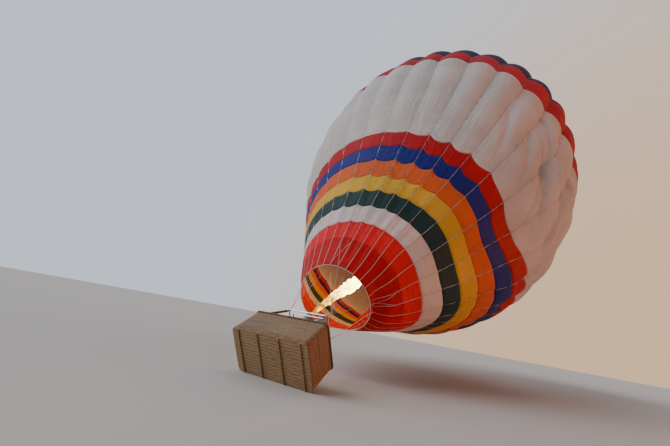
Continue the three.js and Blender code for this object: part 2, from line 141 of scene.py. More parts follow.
@dataclass(frozen=True)
class Rig:
    """The straight frame of basket and burners: z runs from the basket's underside to the mouth."""

    origin: Place = (-19.26360, 0.0, -16.01526)
    down: Place = (0.522499, 0.0, -0.852640)
    left: Place = (0.0, 1.0, 0.0)
    axis: Place = (0.852640, 0.0, 0.522499)

    def place(self, points: Array) -> Array:
        """Returns rig points, last axis (down, left, along the axis), in the scene's frame."""
        basis = np.array([self.down, self.left, self.axis])
        return np.asarray(points, float) @ basis + np.array(self.origin)

    def lifted(self, points: Array, heights: Array) -> Array:
        """Places flat points at their heights above the basket's underside.

        Args:
            points: Array of shape (..., 2), down and left.
            heights: Their heights, of a shape that broadcasts to (..., 1).

        Returns:
            Array of shape (..., 3), in the scene's frame.
        """
        column = np.broadcast_to(heights, (*points.shape[:-1], 1))
        return self.place(np.concatenate([points, column], -1))


RIG = Rig()


# ---- meshes
@dataclass
class Patch:
    """A grid surface: points[i, j] with quads between neighbours, facing along rows x columns.

    Attributes:
        points: Array of shape (rows, columns, 3).
        close_rows: True if the last row joins the first.
        close_columns: True if the last column joins the first.
        chart: UV values of shape (rows, columns, 2), or (rows + 1, columns + 1, 2) on closed ones.
        flip: True to turn the faces over.
    """

    points: Array
    close_rows: bool = False
    close_columns: bool = False
    chart: Array | None = None
    flip: bool = False

    def quads(self) -> Array:
        """Numbers the corners of its quads.

        Returns:
            Row and column of each corner, unwrapped, of shape (quads, 4, 2).
        """
        rows, columns = self.points.shape[:2]
        i, j = np.meshgrid(
            np.arange(rows - (not self.close_rows)),
            np.arange(columns - (not self.close_columns)),
            indexing="ij",
        )
        corners = np.stack(
            [np.stack([i + a, j + b], -1) for a, b in ((0, 0), (0, 1), (1, 1), (1, 0))], -2
        ).reshape(-1, 4, 2)
        return corners[:, ::-1] if self.flip else corners

    def faces(self) -> Array:
        """Numbers the vertices of its quads.

        Returns:
            Array of shape (quads, 4).
        """
        rows, columns = self.points.shape[:2]
        corners = self.quads()
        return (corners[..., 0] % rows) * columns + corners[..., 1] % columns

    def face_chart(self) -> Array | None:
        """Looks up the UV values of its quads' corners.

        Returns:
            Array of shape (quads, 4, 2), or None without a chart.
        """
        if self.chart is None:
            return None
        corners = self.quads()
        rows, columns = self.chart.shape[:2]
        return self.chart[corners[..., 0] % rows, corners[..., 1] % columns]


def rings_closed(points: Array, chart: Array | None = None) -> list[Patch]:
    """A tube of rings with both ends closed to a pole.

    Args:
        points: Array of shape (rings, columns, 3).
        chart: UV values of the rings, or None.

    Returns:
        One patch whose first and last rings are shrunk to the middle of the end rings.
    """
    first = np.broadcast_to(points[:1].mean(1, keepdims=True), points[:1].shape)
    last = np.broadcast_to(points[-1:].mean(1, keepdims=True), points[-1:].shape)
    if chart is not None:
        chart = np.concatenate([chart[:1], chart, chart[-1:]])
    return [Patch(np.concatenate([first, points, last]), False, True, chart)]


def mesh_piece(
    name: str,
    patches: list[Patch],
    material: Material,
    attributes: dict[str, Array] | None = None,
    weld: float = 1e-6,
) -> Object:
    """Makes one smooth object of grid patches, with doubled points welded.

    Args:
        name: The piece's name.
        patches: The grid surfaces that it joins.
        material: Its finish.
        attributes: Float values for each point, named.
        weld: Distance in metres under which points are one, or 0 to leave them.

    Returns:
        The linked object, at the origin.
    """
    sizes = [patch.points.shape[0] * patch.points.shape[1] for patch in patches]
    starts = np.concatenate([[0], np.cumsum(sizes)[:-1]])
    points = np.concatenate([patch.points.reshape(-1, 3) for patch in patches])
    faces = np.concatenate([patch.faces() + start for patch, start in zip(patches, starts)])
    mesh = bpy.data.meshes.new(name)
    mesh.vertices.add(len(points))
    mesh.vertices.foreach_set("co", points.astype(np.float32).ravel())
    mesh.loops.add(faces.size)
    mesh.loops.foreach_set("vertex_index", faces.astype(np.int32).ravel())
    mesh.polygons.add(len(faces))
    mesh.polygons.foreach_set("loop_start", np.arange(0, faces.size, 4, dtype=np.int32))
    mesh.polygons.foreach_set("use_smooth", np.ones(len(faces), bool))
    mesh.update(calc_edges=True)
    charts = [patch.face_chart() for patch in patches]
    if all(chart is not None for chart in charts):
        layer = mesh.uv_layers.new(name="cloth")
        layer.data.foreach_set("uv", np.concatenate(charts).astype(np.float32).ravel())
    for key, values in (attributes or {}).items():
        stored = mesh.attributes.new(key, "FLOAT", "POINT")
        stored.data.foreach_set("value", values.astype(np.float32).ravel())
    mesh.materials.append(material)
    piece = bpy.data.objects.new(name, mesh)
    bpy.context.scene.collection.objects.link(piece)
    if weld > 0:
        weld_points(piece, weld)
    return piece


def weld_points(piece: Object, distance: float) -> None:
    """Joins doubled points and drops the faces that vanish.

    Args:
        piece: The object.
        distance: Metres under which points are one.
    """
    cage = bmesh.new()
    cage.from_mesh(piece.data)
    bmesh.ops.remove_doubles(cage, verts=cage.verts, dist=distance)
    bmesh.ops.dissolve_degenerate(cage, edges=cage.edges, dist=distance)
    cage.to_mesh(piece.data)
    cage.free()
    piece.data.update()


class Body(Enum):
    """The CAD bodies that carry the scene's pieces."""

    BALLOON = "balloon"
    BURNERS = "burners"
    VENT = "vent"


class Slot(Enum):
    """The record's material slots."""

    DARK_RED = "fabric_dark_red"
    RED = "fabric_red"
    WHITE = "fabric_white"
    GREEN = "fabric_green"
    YELLOW = "fabric_yellow"
    ORANGE = "fabric_orange"
    BLUE = "fabric_blue"
    NAVY = "fabric_navy"
    LOAD_TAPE = "load_tape"
    STEEL = "steel"
    LEATHER = "leather"
    TIMBER = "timber"
    TANK_METAL = "tank_metal"
    WICKER = "wicker"


def settle(piece: Object, body: Body, slot: Slot, *nodes: str) -> None:
    """""Has a piece ride on a body, and hides the CAD nodes that it stands for.

    Args:
        piece: The finished piece.
        body: The CAD body that carries it.
        slot: The record's material slot. Not used.
        nodes: CAD nodes that it replaces.
    """
    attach(piece, body.value)
    if nodes:
        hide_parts(*nodes)
    log.info("%s rides on %s", piece.name, body.value)


# ---- finishes
class Board:
    """Lays out and links the nodes of one material, or of the world.

    Attributes:
        owner: The material or world.
        tree: Its nodes.
        output: Its output node.
    """

    def __init__(self, name: str, world: bool = False) -> None:
        """Makes an empty material, or a world, of that name with its output node.

        Args:
            name: Its name.
            world: True for a world.
        """
        kinds = bpy.data.worlds if world else bpy.data.materials
        self.owner = kinds.new(name)
        self.owner.use_nodes = True
        self.tree = self.owner.node_tree
        self.tree.nodes.clear()
        self.output = self.tree.nodes.new("ShaderNodeOutput" + ("World" if world else "Material"))

    def node(self, kind: str, settings: dict | None = None, **values: object) -> Node:
        """Adds a node.

        Args:
            kind: The node's type without its ShaderNode prefix.
            settings: Its properties, such as operation.
            values: Its sockets by name, spaces as underscores: a number, a tuple or a socket.

        Returns:
            The node.
        """
        made = self.tree.nodes.new("ShaderNode" + kind)
        for key, value in (settings or {}).items():
            setattr(made, key, value)
        for key, value in values.items():
            self.feed(made.inputs[key.replace("_", " ")], value)
        return made

    def feed(self, socket: Socket, value: object) -> None:
        """Links or sets a socket.

        Args:
            socket: The input.
            value: Another socket to link it to, or what to set.
        """
        if isinstance(value, Socket):
            self.tree.links.new(value, socket)
        elif socket.type == "RGBA" and len(value) == 3:
            socket.default_value = (*value, 1.0)
        else:
            socket.default_value = value

    def maths(self, operation: str, *values: object, clamp: bool = False) -> Socket:
        """Adds a Math node.

        Args:
            operation: What it does.
            values: Its inputs, each a number or a socket.
            clamp: True to hold it between 0 and 1.

        Returns:
            Its output.
        """
        made = self.node("Math", {"operation": operation, "use_clamp": clamp})
        for socket, value in zip(made.inputs, values):
            self.feed(socket, value)
        return made.outputs[0]

    def stepped(
        self, value: Socket, low: float, high: float, at_low: float, at_high: float
    ) -> Socket:
        """Eases a value from one number to another.

        Args:
            value: What is eased.
            low: Where that starts.
            high: Where it ends.
            at_low: The result up to low.
            at_high: The result from high on.

        Returns:
            The eased value.
        """
        made = self.node(
            "MapRange",
            {"interpolation_type": "SMOOTHSTEP"},
            Value=value, From_Min=low, From_Max=high, To_Min=at_low, To_Max=at_high,
        )
        return made.outputs["Result"]

    def noise(
        self, place: Socket, scale: float, detail: float = 2.0, rough: float = 0.5
    ) -> Socket:
        """Returns the grey value of a Noise texture at place."""
        made = self.node("TexNoise", Vector=place, Scale=scale, Detail=detail, Roughness=rough)
        return made.outputs["Fac"]

    def stretched(self, place: Socket, scale: Place, turn: float = 0.0) -> Socket:
        """Returns place turned about Z by turn radians and scaled."""
        made = self.node("Mapping", Vector=place, Scale=scale, Rotation=(0.0, 0.0, turn))
        return made.outputs["Vector"]

    def shaded(self, colour: object, value: Socket) -> Socket:
        """Darkens or lightens a colour.

        Args:
            colour: The colour.
            value: A grey factor.

        Returns:
            Their product.
        """
        made = self.node("Mix", {"data_type": "RGBA", "blend_type": "MULTIPLY"})
        self.feed(made.inputs[0], 1.0)
        self.feed(made.inputs[6], colour)
        self.feed(made.inputs[7], value)
        return made.outputs[2]

    def blended(self, share: Socket, first: object, second: object) -> Socket:
        """Mixes two colours.

        Args:
            share: Share of the second one.
            first: One colour.
            second: The other.

        Returns:
            The mix.
        """
        made = self.node("Mix", {"data_type": "RGBA"})
        self.feed(made.inputs[0], share)
        self.feed(made.inputs[6], first)
        self.feed(made.inputs[7], second)
        return made.outputs[2]

    def bump(self, height: Socket, metres: float) -> Socket:
        """Returns the normal of a Bump node over a height of that many metres."""
        made = self.node("Bump", Height=height, Distance=metres, Strength=1.0)
        return made.outputs["Normal"]

    def surface(self, **values: object) -> Node:
        """Adds the Principled shader and links it to the output.

        Args:
            values: Its sockets by name.

        Returns:
            The shader.
        """
        made = self.node("BsdfPrincipled", None, **values)
        self.tree.links.new(made.outputs[0], self.output.inputs[0])
        return made

    def along(self, place: Socket, heading: Place) -> Socket:
        """Measures a place along a heading.

        Args:
            place: The place.
            heading: The heading.

        Returns:
            Their scalar product.
        """
        made = self.node("VectorMath", {"operation": "DOT_PRODUCT"})
        self.feed(made.inputs[0], place)
        self.feed(made.inputs[1], heading)
        return made.outputs["Value"]

    def uv(self) -> Socket:
        """Returns the piece's own cloth chart, in metres."""
        return self.node("UVMap", {"uv_map": "cloth"}).outputs[0]

    def place(self) -> Socket:
        """Returns the Object coordinates."""
        return self.node("TexCoord").outputs["Object"]


GORE_CHART = 3.0  # width in metres of the chart's column for one gore
WEAVE_LIFT = 1.2  # how far the wave of a woven strand is raised, over its own height


@dataclass(frozen=True)
class BalloonCloth:
    """Coated ripstop nylon, sewn in panels, with puckers at the seams and a soft sheen.

    Attributes:
        name: The material's name.
        colour: Cloth colour, linear.
        through: Share of the light that passes through it.
        panel: Height of a sewn panel along the gore, in metres.
    """

    name: str
    colour: Colour
    through: float = 0.30
    panel: float = 1.04

    def build(self) -> Material:
        """Makes the material.

        Returns:
            The material.
        """
        board = Board(self.name)
        chart, place = board.uv(), board.place()
        split = board.node("SeparateXYZ", Vector=chart)
        seam = board.node("Attribute", {"attribute_name": "seam_distance"}).outputs["Fac"]
        gore = board.maths("FLOOR", board.maths("DIVIDE", split.outputs[0], GORE_CHART))
        panel = board.maths("FLOOR", board.maths("DIVIDE", split.outputs[1], self.panel))
        batch = board.node("CombineXYZ", X=gore, Y=panel)
        tint = board.node("TexWhiteNoise", Vector=batch.outputs[0]).outputs[0]
        fade = board.noise(place, 0.45, 3.0)
        shade = board.maths("ADD", board.stepped(tint, 0.0, 1.0, -0.025, 0.025),
                            board.stepped(fade, 0.3, 0.7, 0.93, 1.05))
        # Darker along the seams: partly doubled cloth, partly painted shade in the valleys between
        # gores
        seam_shade_and_doubling = board.stepped(seam, 0.016, 0.024, 0.80, 1.0)
        row = board.maths("PINGPONG", split.outputs[1], self.panel / 2)
        hem = board.stepped(row, 0.008, 0.016, 0.88, 1.0)
        grime = board.stepped(board.noise(place, 1.7, 5.0, 0.6), 0.62, 0.80, 1.0, 0.93)
        colour = board.shaded(self.colour, shade)
        for part in (seam_shade_and_doubling, hem, grime):
            colour = board.shaded(colour, part)
        pulled = board.noise(board.stretched(chart, (5.0, 0.9, 1.0), 0.35), 1.0, 3.0, 0.55)
        pucker = board.noise(board.stretched(chart, (1.0, 6.5, 1.0)), 1.0, 2.0)
        near = board.stepped(seam, 0.0, 0.40, 1.0, 0.12)
        folds = board.maths("ADD", board.maths("MULTIPLY", pulled, 0.55),
                            board.maths("MULTIPLY", pucker, near))
        square = board.node("TexBrick", {"offset": 0.0, "squash": 1.0}, Vector=chart, Scale=1.0,
                            Mortar_Size=0.0008, Brick_Width=0.008, Row_Height=0.008,
                            Color1=(0.0, 0.0, 0.0), Color2=(0.0, 0.0, 0.0), Mortar=(1.0, 1.0, 1.0))
        ripstop = board.maths("MULTIPLY", square.outputs[0], 0.004)
        raised = board.maths("ADD", ripstop, board.maths("MULTIPLY", hem, -0.04))
        normal = board.bump(board.maths("ADD", folds, raised), 0.10)
        cloth = board.surface(Base_Color=colour, Roughness=0.62, Normal=normal,
                              Specular_IOR_Level=0.22)
        glow = board.node("BsdfTranslucent", Color=colour, Normal=normal)
        both = board.node("MixShader", Fac=self.through)
        board.tree.links.new(cloth.outputs[0], both.inputs[1])
        board.tree.links.new(glow.outputs[0], both.inputs[2])
        board.tree.links.new(both.outputs[0], board.output.inputs[0])
        return board.owner


@dataclass(frozen=True)
class Webbing:
    """Woven polyester tape or rope, ribbed across."""

    name: str
    colour: Colour
    rib: float = 0.004
    roughness: float = 0.75

    def build(self) -> Material:
        """Makes the material.

        Returns:
            The material.
        """
        board = Board(self.name)
        place = board.place()
        wave = board.node("TexWave", {"wave_type": "BANDS", "bands_direction": "DIAGONAL"},
                          Vector=place, Scale=1.0 / (TAU * self.rib), Distortion=1.5, Detail=1.0)
        worn = board.stepped(board.noise(place, 3.0, 4.0), 0.35, 0.7, 0.88, 1.04)
        colour = board.shaded(board.shaded(self.colour, worn),
                              board.stepped(wave.outputs["Fac"], 0.0, 1.0, 0.88, 1.05))
        board.surface(Base_Color=colour, Roughness=self.roughness, Sheen_Weight=0.2,
                      Normal=board.bump(wave.outputs["Fac"], 0.0012))
        return board.owner


@dataclass(frozen=True)
class Metal:
    """Bare, brushed or heated metal with scratches and worn edges."""

    name: str
    colour: Colour
    roughness: float = 0.32
    stain: Colour = (0.10, 0.075, 0.05)
    stained: float = 0.25

    def build(self) -> Material:
        """Makes the material.

        Returns:
            The material.
        """
        board = Board(self.name)
        place = board.place()
        brushed = board.noise(board.stretched(place, (60.0, 60.0, 4.0)), 1.0, 3.0)
        blotch = board.noise(place, 6.0, 5.0, 0.62)
        spots = board.stepped(blotch, 0.50, 0.78, 0.0, self.stained)
        colour = board.blended(spots, self.colour, self.stain)
        rough = board.maths("ADD", board.stepped(brushed, 0.3, 0.7, self.roughness - 0.07,
                                                 self.roughness + 0.10),
                            board.maths("MULTIPLY", spots, 0.5), clamp=True)
        board.surface(Base_Color=colour, Metallic=1.0, Roughness=rough,
                      Normal=board.bump(brushed, 0.0006))
        return board.owner


@dataclass(frozen=True)
class Leather:
    """Grained hide or suede, rubbed lighter where hands and boots touch it."""

    name: str
    colour: Colour
    rubbed: Colour
    roughness: float = 0.58
    grain: float = 220.0

    def build(self) -> Material:
        """Makes the material.

        Returns:
            The material.
        """
        board = Board(self.name)
        place = board.place()
        cells = board.node("TexVoronoi", {"feature": "DISTANCE_TO_EDGE"}, Vector=place,
                           Scale=self.grain).outputs["Distance"]
        creases = board.noise(place, 26.0, 4.0, 0.6)
        wear = board.stepped(board.noise(place, 4.5, 5.0, 0.6), 0.48, 0.70, 0.0, 0.65)
        colour = board.blended(wear, self.colour, self.rubbed)
        colour = board.shaded(colour, board.stepped(creases, 0.3, 0.7, 0.86, 1.08))
        height = board.maths("ADD", board.stepped(cells, 0.0, 0.16, 0.0, 0.35), creases)
        rough = board.stepped(wear, 0.0, 0.65, self.roughness, self.roughness - 0.16)
        board.surface(Base_Color=colour, Roughness=rough, Normal=board.bump(height, 0.002),
                      Specular_IOR_Level=0.4)
        return board.owner


@dataclass(frozen=True)
class Cane:
    """""Split and whole willow, streaked along the strands, with painted shade in the weave's gaps.
    """

    name: str
    light: Colour = (0.52, 0.30, 0.12)
    dark: Colour = (0.23, 0.11, 0.04)

    def build(self) -> Material:
        """Makes the material.

        Returns:
            The material.
        """
        board = Board(self.name)
        chart = board.uv()
        strand = board.node("Attribute", {"attribute_name": "strand_height"}).outputs["Fac"]
        streak = board.noise(board.stretched(chart, (9.0, 160.0, 1.0)), 1.0, 4.0, 0.6)
        batch = board.noise(board.stretched(chart, (0.7, 26.0, 1.0)), 1.0, 2.0)
        mixed = board.maths("ADD", board.maths("MULTIPLY", streak, 0.5),
                            board.maths("MULTIPLY", batch, 0.5))
        colour = board.blended(board.stepped(mixed, 0.38, 0.62, 0.0, 1.0), self.dark, self.light)
        # Painted shade: darker where the strand lies lower, darkest in the gaps
        colour = board.shaded(colour, board.stepped(strand, -0.7, 0.6, 0.30, 1.08))
        board.surface(Base_Color=colour, Roughness=0.55, Coat_Weight=0.12, Coat_Roughness=0.35,
                      Normal=board.bump(streak, 0.0015))
        return board.owner


@dataclass(frozen=True)
class WovenPanel:
    """""A flat woven wall: strands over and under stakes, as a height and a tint of painted shade.

    Attributes:
        name: The material's name.
        light: Cane on top.
        dark: Painted shade in the gaps.
        stake: Distance between stakes, in metres.
        strand: Height of a strand, in metres.
    """

    name: str
    light: Colour = (0.46, 0.26, 0.10)
    dark: Colour = (0.10, 0.05, 0.02)
    stake: float = 0.084
    strand: float = 0.022

    def build(self) -> Material:
        """Makes the material.

        Returns:
            The material.
        """
        board = Board(self.name)
        place = board.place()
        flat = tuple(np.add(RIG.down, RIG.left))
        across = board.maths("MULTIPLY", board.along(place, flat), np.pi / self.stake)
        along = board.maths("MULTIPLY", board.along(place, RIG.axis), 1.0 / self.strand)
        turned = board.maths("MULTIPLY", board.maths("FLOOR", along), np.pi)
        over = board.maths("COSINE", board.maths("ADD", across, turned))
        dome = board.maths("SINE", board.maths("MULTIPLY", board.maths("FRACT", along), np.pi))
        height = board.maths("MULTIPLY", dome, board.maths("ADD", over, WEAVE_LIFT))
        streak = board.noise(board.stretched(place, (30.0, 30.0, 30.0)), 1.0, 4.0)
        # Painted shade: the lower the strand, the nearer its colour to dark, streaked at random
        tint = board.maths("MULTIPLY", board.stepped(height, 0.0, 1.8, 0.0, 1.0),
                           board.stepped(streak, 0.3, 0.7, 0.75, 1.0))
        board.surface(Base_Color=board.blended(tint, self.dark, self.light), Roughness=0.6,
                      Normal=board.bump(height, 0.006))
        return board.owner


@dataclass(frozen=True)
class Timber:
    """Varnished plywood and ash, with long grain and scuffs."""

    name: str
    light: Colour = (0.40, 0.25, 0.12)
    dark: Colour = (0.22, 0.12, 0.05)

    def build(self) -> Material:
        """Makes the material.

        Returns:
            The material.
        """
        board = Board(self.name)
        place = board.place()
        grain = board.noise(board.stretched(place, (14.0, 2.0, 14.0)), 2.0, 6.0, 0.65)
        rings = board.node("TexWave", {"bands_direction": "X"}, Vector=place, Scale=6.0,
                           Distortion=5.0, Detail=3.0).outputs["Fac"]
        mixed = board.maths("ADD", board.maths("MULTIPLY", grain, 0.7),
                            board.maths("MULTIPLY", rings, 0.3))
        scuffs = board.stepped(board.noise(place, 9.0, 6.0, 0.7), 0.56, 0.70, 1.0, 0.62)
        colour = board.blended(board.stepped(mixed, 0.3, 0.7, 0.0, 1.0), self.dark, self.light)
        board.surface(Base_Color=board.shaded(colour, scuffs), Roughness=0.5, Coat_Weight=0.15,
                      Normal=board.bump(grain, 0.0012))
        return board.owner


@dataclass(frozen=True)
class Fire:
    """A burner flame: light given off, hotter along its middle and towards its tip.

    Its share of heat is a mesh attribute named glow_share. The plain name heat won't do, because
    the renderer keeps it for smoke and reads 0.

    Attributes:
        name: The material's name.
        cool: Light where the share is 0.
        hot: Light where it is 1.
        strength: Emission where it is 1.
        ember: The part of that emission which is left where it is 0.
    """

    name: str
    cool: Colour = (1.0, 0.42, 0.015)
    hot: Colour = (1.0, 0.88, 0.24)
    strength: float = 13.0
    ember: float = 0.06

    def build(self) -> Material:
        """Makes the material.

        Returns:
            The material.
        """
        board = Board(self.name)
        heat = board.node("Attribute", {"attribute_name": "glow_share"}).outputs["Fac"]
        lick = board.noise(board.stretched(board.place(), (3.0, 5.0, 3.0)), 1.2, 4.0, 0.6)
        mixed = board.maths("ADD", heat, board.stepped(lick, 0.3, 0.7, -0.35, 0.25), clamp=True)
        colour = board.blended(mixed, self.cool, self.hot)
        power = board.stepped(mixed, 0.0, 1.0, self.strength * self.ember, self.strength)
        board.surface(Base_Color=(0.0, 0.0, 0.0), Roughness=1.0, Specular_IOR_Level=0.0,
                      Emission_Color=colour, Emission_Strength=power)
        return board.owner


@dataclass(frozen=True)
class Plain:
    """A painted or moulded surface, faintly mottled."""

    name: str
    colour: Colour
    roughness: float = 0.6
    mottle: float = 0.06

    def build(self) -> Material:
        """Makes the material.

        Returns:
            The material.
        """
        board = Board(self.name)
        place = board.place()
        spots = board.noise(place, 12.0, 4.0)
        colour = board.shaded(self.colour, board.stepped(spots, 0.3, 0.7, 1 - self.mottle, 1.0))
        board.surface(Base_Color=colour, Roughness=self.roughness, Normal=board.bump(spots, 0.001))
        return board.owner


class Cloth(Enum):
    """""The colours of the envelope's cloth, and lighter copies of red and white with painted
    light.
    """

    DARK_RED = BalloonCloth("cloth_dark_red", (0.58, 0.010, 0.013))
    # Painted light: a lighter copy of the red cloth, on the red band near the mouth
    RED_PAINTED_LIT = BalloonCloth("cloth_bright_red", (0.78, 0.022, 0.028))
    # Painted light: a lighter, pinker copy of the white cloth, on the low white band
    WHITE_PAINTED_WARM_LIT = BalloonCloth("cloth_pinkish_white", (0.76, 0.68, 0.67))
    DARK_GREEN = BalloonCloth("cloth_dark_green", (0.016, 0.046, 0.046), through=0.12)
    YELLOW = BalloonCloth("cloth_yellow", (0.76, 0.49, 0.050))
    ORANGE = BalloonCloth("cloth_orange", (0.74, 0.155, 0.036))
    DARK_BLUE = BalloonCloth("cloth_dark_blue", (0.012, 0.018, 0.20), through=0.12)
    RED = BalloonCloth("cloth_red", (0.56, 0.016, 0.024))
    WHITE = BalloonCloth("cloth_white", (0.70, 0.655, 0.63))
    NAVY = BalloonCloth("cloth_navy", (0.022, 0.030, 0.115), through=0.15)


# Finishes of the pieces that the scene adds to the rigging, the basket and the burners
TAPE_WHITE = Webbing("tape_white", (0.62, 0.56, 0.53))
CORD_PALE = Webbing("cord_pale", (0.66, 0.55, 0.52))
SLEEVE_COPPER = Metal("sleeve_copper", (0.55, 0.32, 0.20))
LACE_DARK = Leather("lace_dark", (0.05, 0.022, 0.012), (0.12, 0.06, 0.03))
HIDE_TAN = Leather("hide_tan", (0.20, 0.10, 0.045), (0.38, 0.22, 0.11), roughness=0.66)
THREAD_WAXED = Webbing("thread_waxed", (0.55, 0.43, 0.28))
SUEDE_SLEEVE = Leather("suede_sleeve", (0.17, 0.085, 0.040), (0.30, 0.17, 0.09), roughness=0.75)
LACE_CORD = Webbing("lace_cord", (0.50, 0.42, 0.30))
VALVE_BRASS = Metal("valve_brass", (0.62, 0.42, 0.16), roughness=0.30)
STRAP_DARK = Webbing("strap_dark", (0.035, 0.04, 0.05))
BLOCK_BRASS = Metal("block_brass", (0.60, 0.40, 0.15), roughness=0.34)
FLOOR_PALE = Plain("floor_pale", (0.52, 0.49, 0.46), roughness=0.95, mottle=0.01)


# ---- envelope
@dataclass
class GorePatch(Patch):
    """A patch whose chart starts anew at each gore.

    Attributes:
        steps: Columns in one gore.
    """

    steps: int = 16

    def face_chart(self) -> Array:
        """Looks up the corners' UV values, the right-hand ones in their own gore's column.

        Returns:
            Array of shape (quads, 4, 2).
        """
        corners = self.quads()
        row, column = corners[..., 0], corners[..., 1]
        values = self.chart[row, column].copy()
        gore = corners[:, :1, 1] // self.steps
        wrapped = (column // self.steps != gore) & (column % self.steps == 0)
        half = values[..., 0] - (column // self.steps) * GORE_CHART - GORE_CHART / 2
        values[..., 0] = np.where(
            wrapped, gore * GORE_CHART + GORE_CHART / 2 - half, values[..., 0]
        )
        return values


@dataclass(frozen=True)
class Lobe:
    """A bell round the envelope.

    Attributes:
        size: Its height in the middle.
        middle: The turn of its middle, in degrees.
        spread: Degrees over which it falls to 1/e of its size.
    """

    size: float
    middle: float
    spread: float

    def at(self, turn: Array) -> Array:
        """Returns size times the bell of the angle between turn, in radians, and the middle."""
        gap = angle_gap(turn, np.radians(self.middle))
        return self.size * bell(gap, 0.0, np.radians(self.spread))


@dataclass(frozen=True)
class Curve:
    """Values at places along the centreline, joined by straight lines."""

    places: tuple[float, ...]
    values: tuple[float, ...]

    def at(self, along: Array) -> Array:
        """Returns the value at along."""
        return np.interp(along, self.places, self.values)


@dataclass(frozen=True)
class Fold:
    """A soft valley in the cloth between two places of the envelope.

    Attributes:
        start: Distance along the centreline in metres, and turn in degrees.
        end: The same for its other end.
        width: Distance in metres over which the depth falls to about a third.
        depth: How far it lies inside the round shape, in metres.
        crease: Half width in metres over which its bottom is rounded.
    """

    start: Span
    end: Span
    width: float
    depth: float
    crease: float = 0.06

    def relief(self, along: Array, turn: Array, radius: Array) -> Array:
        """Works out the height of the cloth, negative in the valley.

        The distance from the fold's line is measured on the unrolled cloth, where one turn is
        as long as the local circumference. The depth falls off exponentially from that line, so
        the fold has a crease, and fades towards both ends.

        Args:
            along: Distance along the centreline.
            turn: Angle round it, in radians.
            radius: The profile's radius there.

        Returns:
            The height in metres.
        """
        mean = np.radians((self.start[1] + self.end[1]) / 2)
        across = angle_gap(turn, mean) * radius
        low_x = (np.radians(self.start[1]) - mean) * radius
        high_x = (np.radians(self.end[1]) - mean) * radius
        low_y, high_y = self.start[0], self.end[0]
        span_x, span_y = high_x - low_x, high_y - low_y
        length = np.sqrt(span_x**2 + span_y**2)
        share = ((across - low_x) * span_x + (along - low_y) * span_y) / length**2
        off = ((across - low_x) * span_y - (along - low_y) * span_x) / length
        taper = smooth_step(-0.15, 0.25, share) * smooth_step(1.15, 0.75, share)
        return -self.depth * taper * np.exp(-np.sqrt(off**2 + self.crease**2) / self.width)


@dataclass(frozen=True)
class Band:
    """A coloured band of the envelope.

    Attributes:
        name: Its name, which its CAD walls share.
        top: Its upper edge along the centreline, in metres.
        slot: The record's material slot.
        cloth: Its colour.
        walls: How many CAD walls it stands for.
    """

    name: str
    top: float
    slot: Slot
    cloth: Cloth
    walls: int = 1

    def nodes(self) -> list[str]:
        """Returns the names of its CAD walls, numbered where there are several."""
        name = f"envelope_{self.name}"
        return [name] if self.walls == 1 else [f"{name}_{k + 1}" for k in range(self.walls)]


# Places along the centreline where the pulled cloth's depths are given: the lower bands' edges
PULL_PLACES = (0.0, 1.23, 2.17, 3.11, 4.05, 5.0, 6.07, 7.07, 8.08, 12.0, 17.4)
# And those for the red band by the crown, with room on either side
SEAM_PLACES = (15.0, 17.456, 19.475, 21.8)


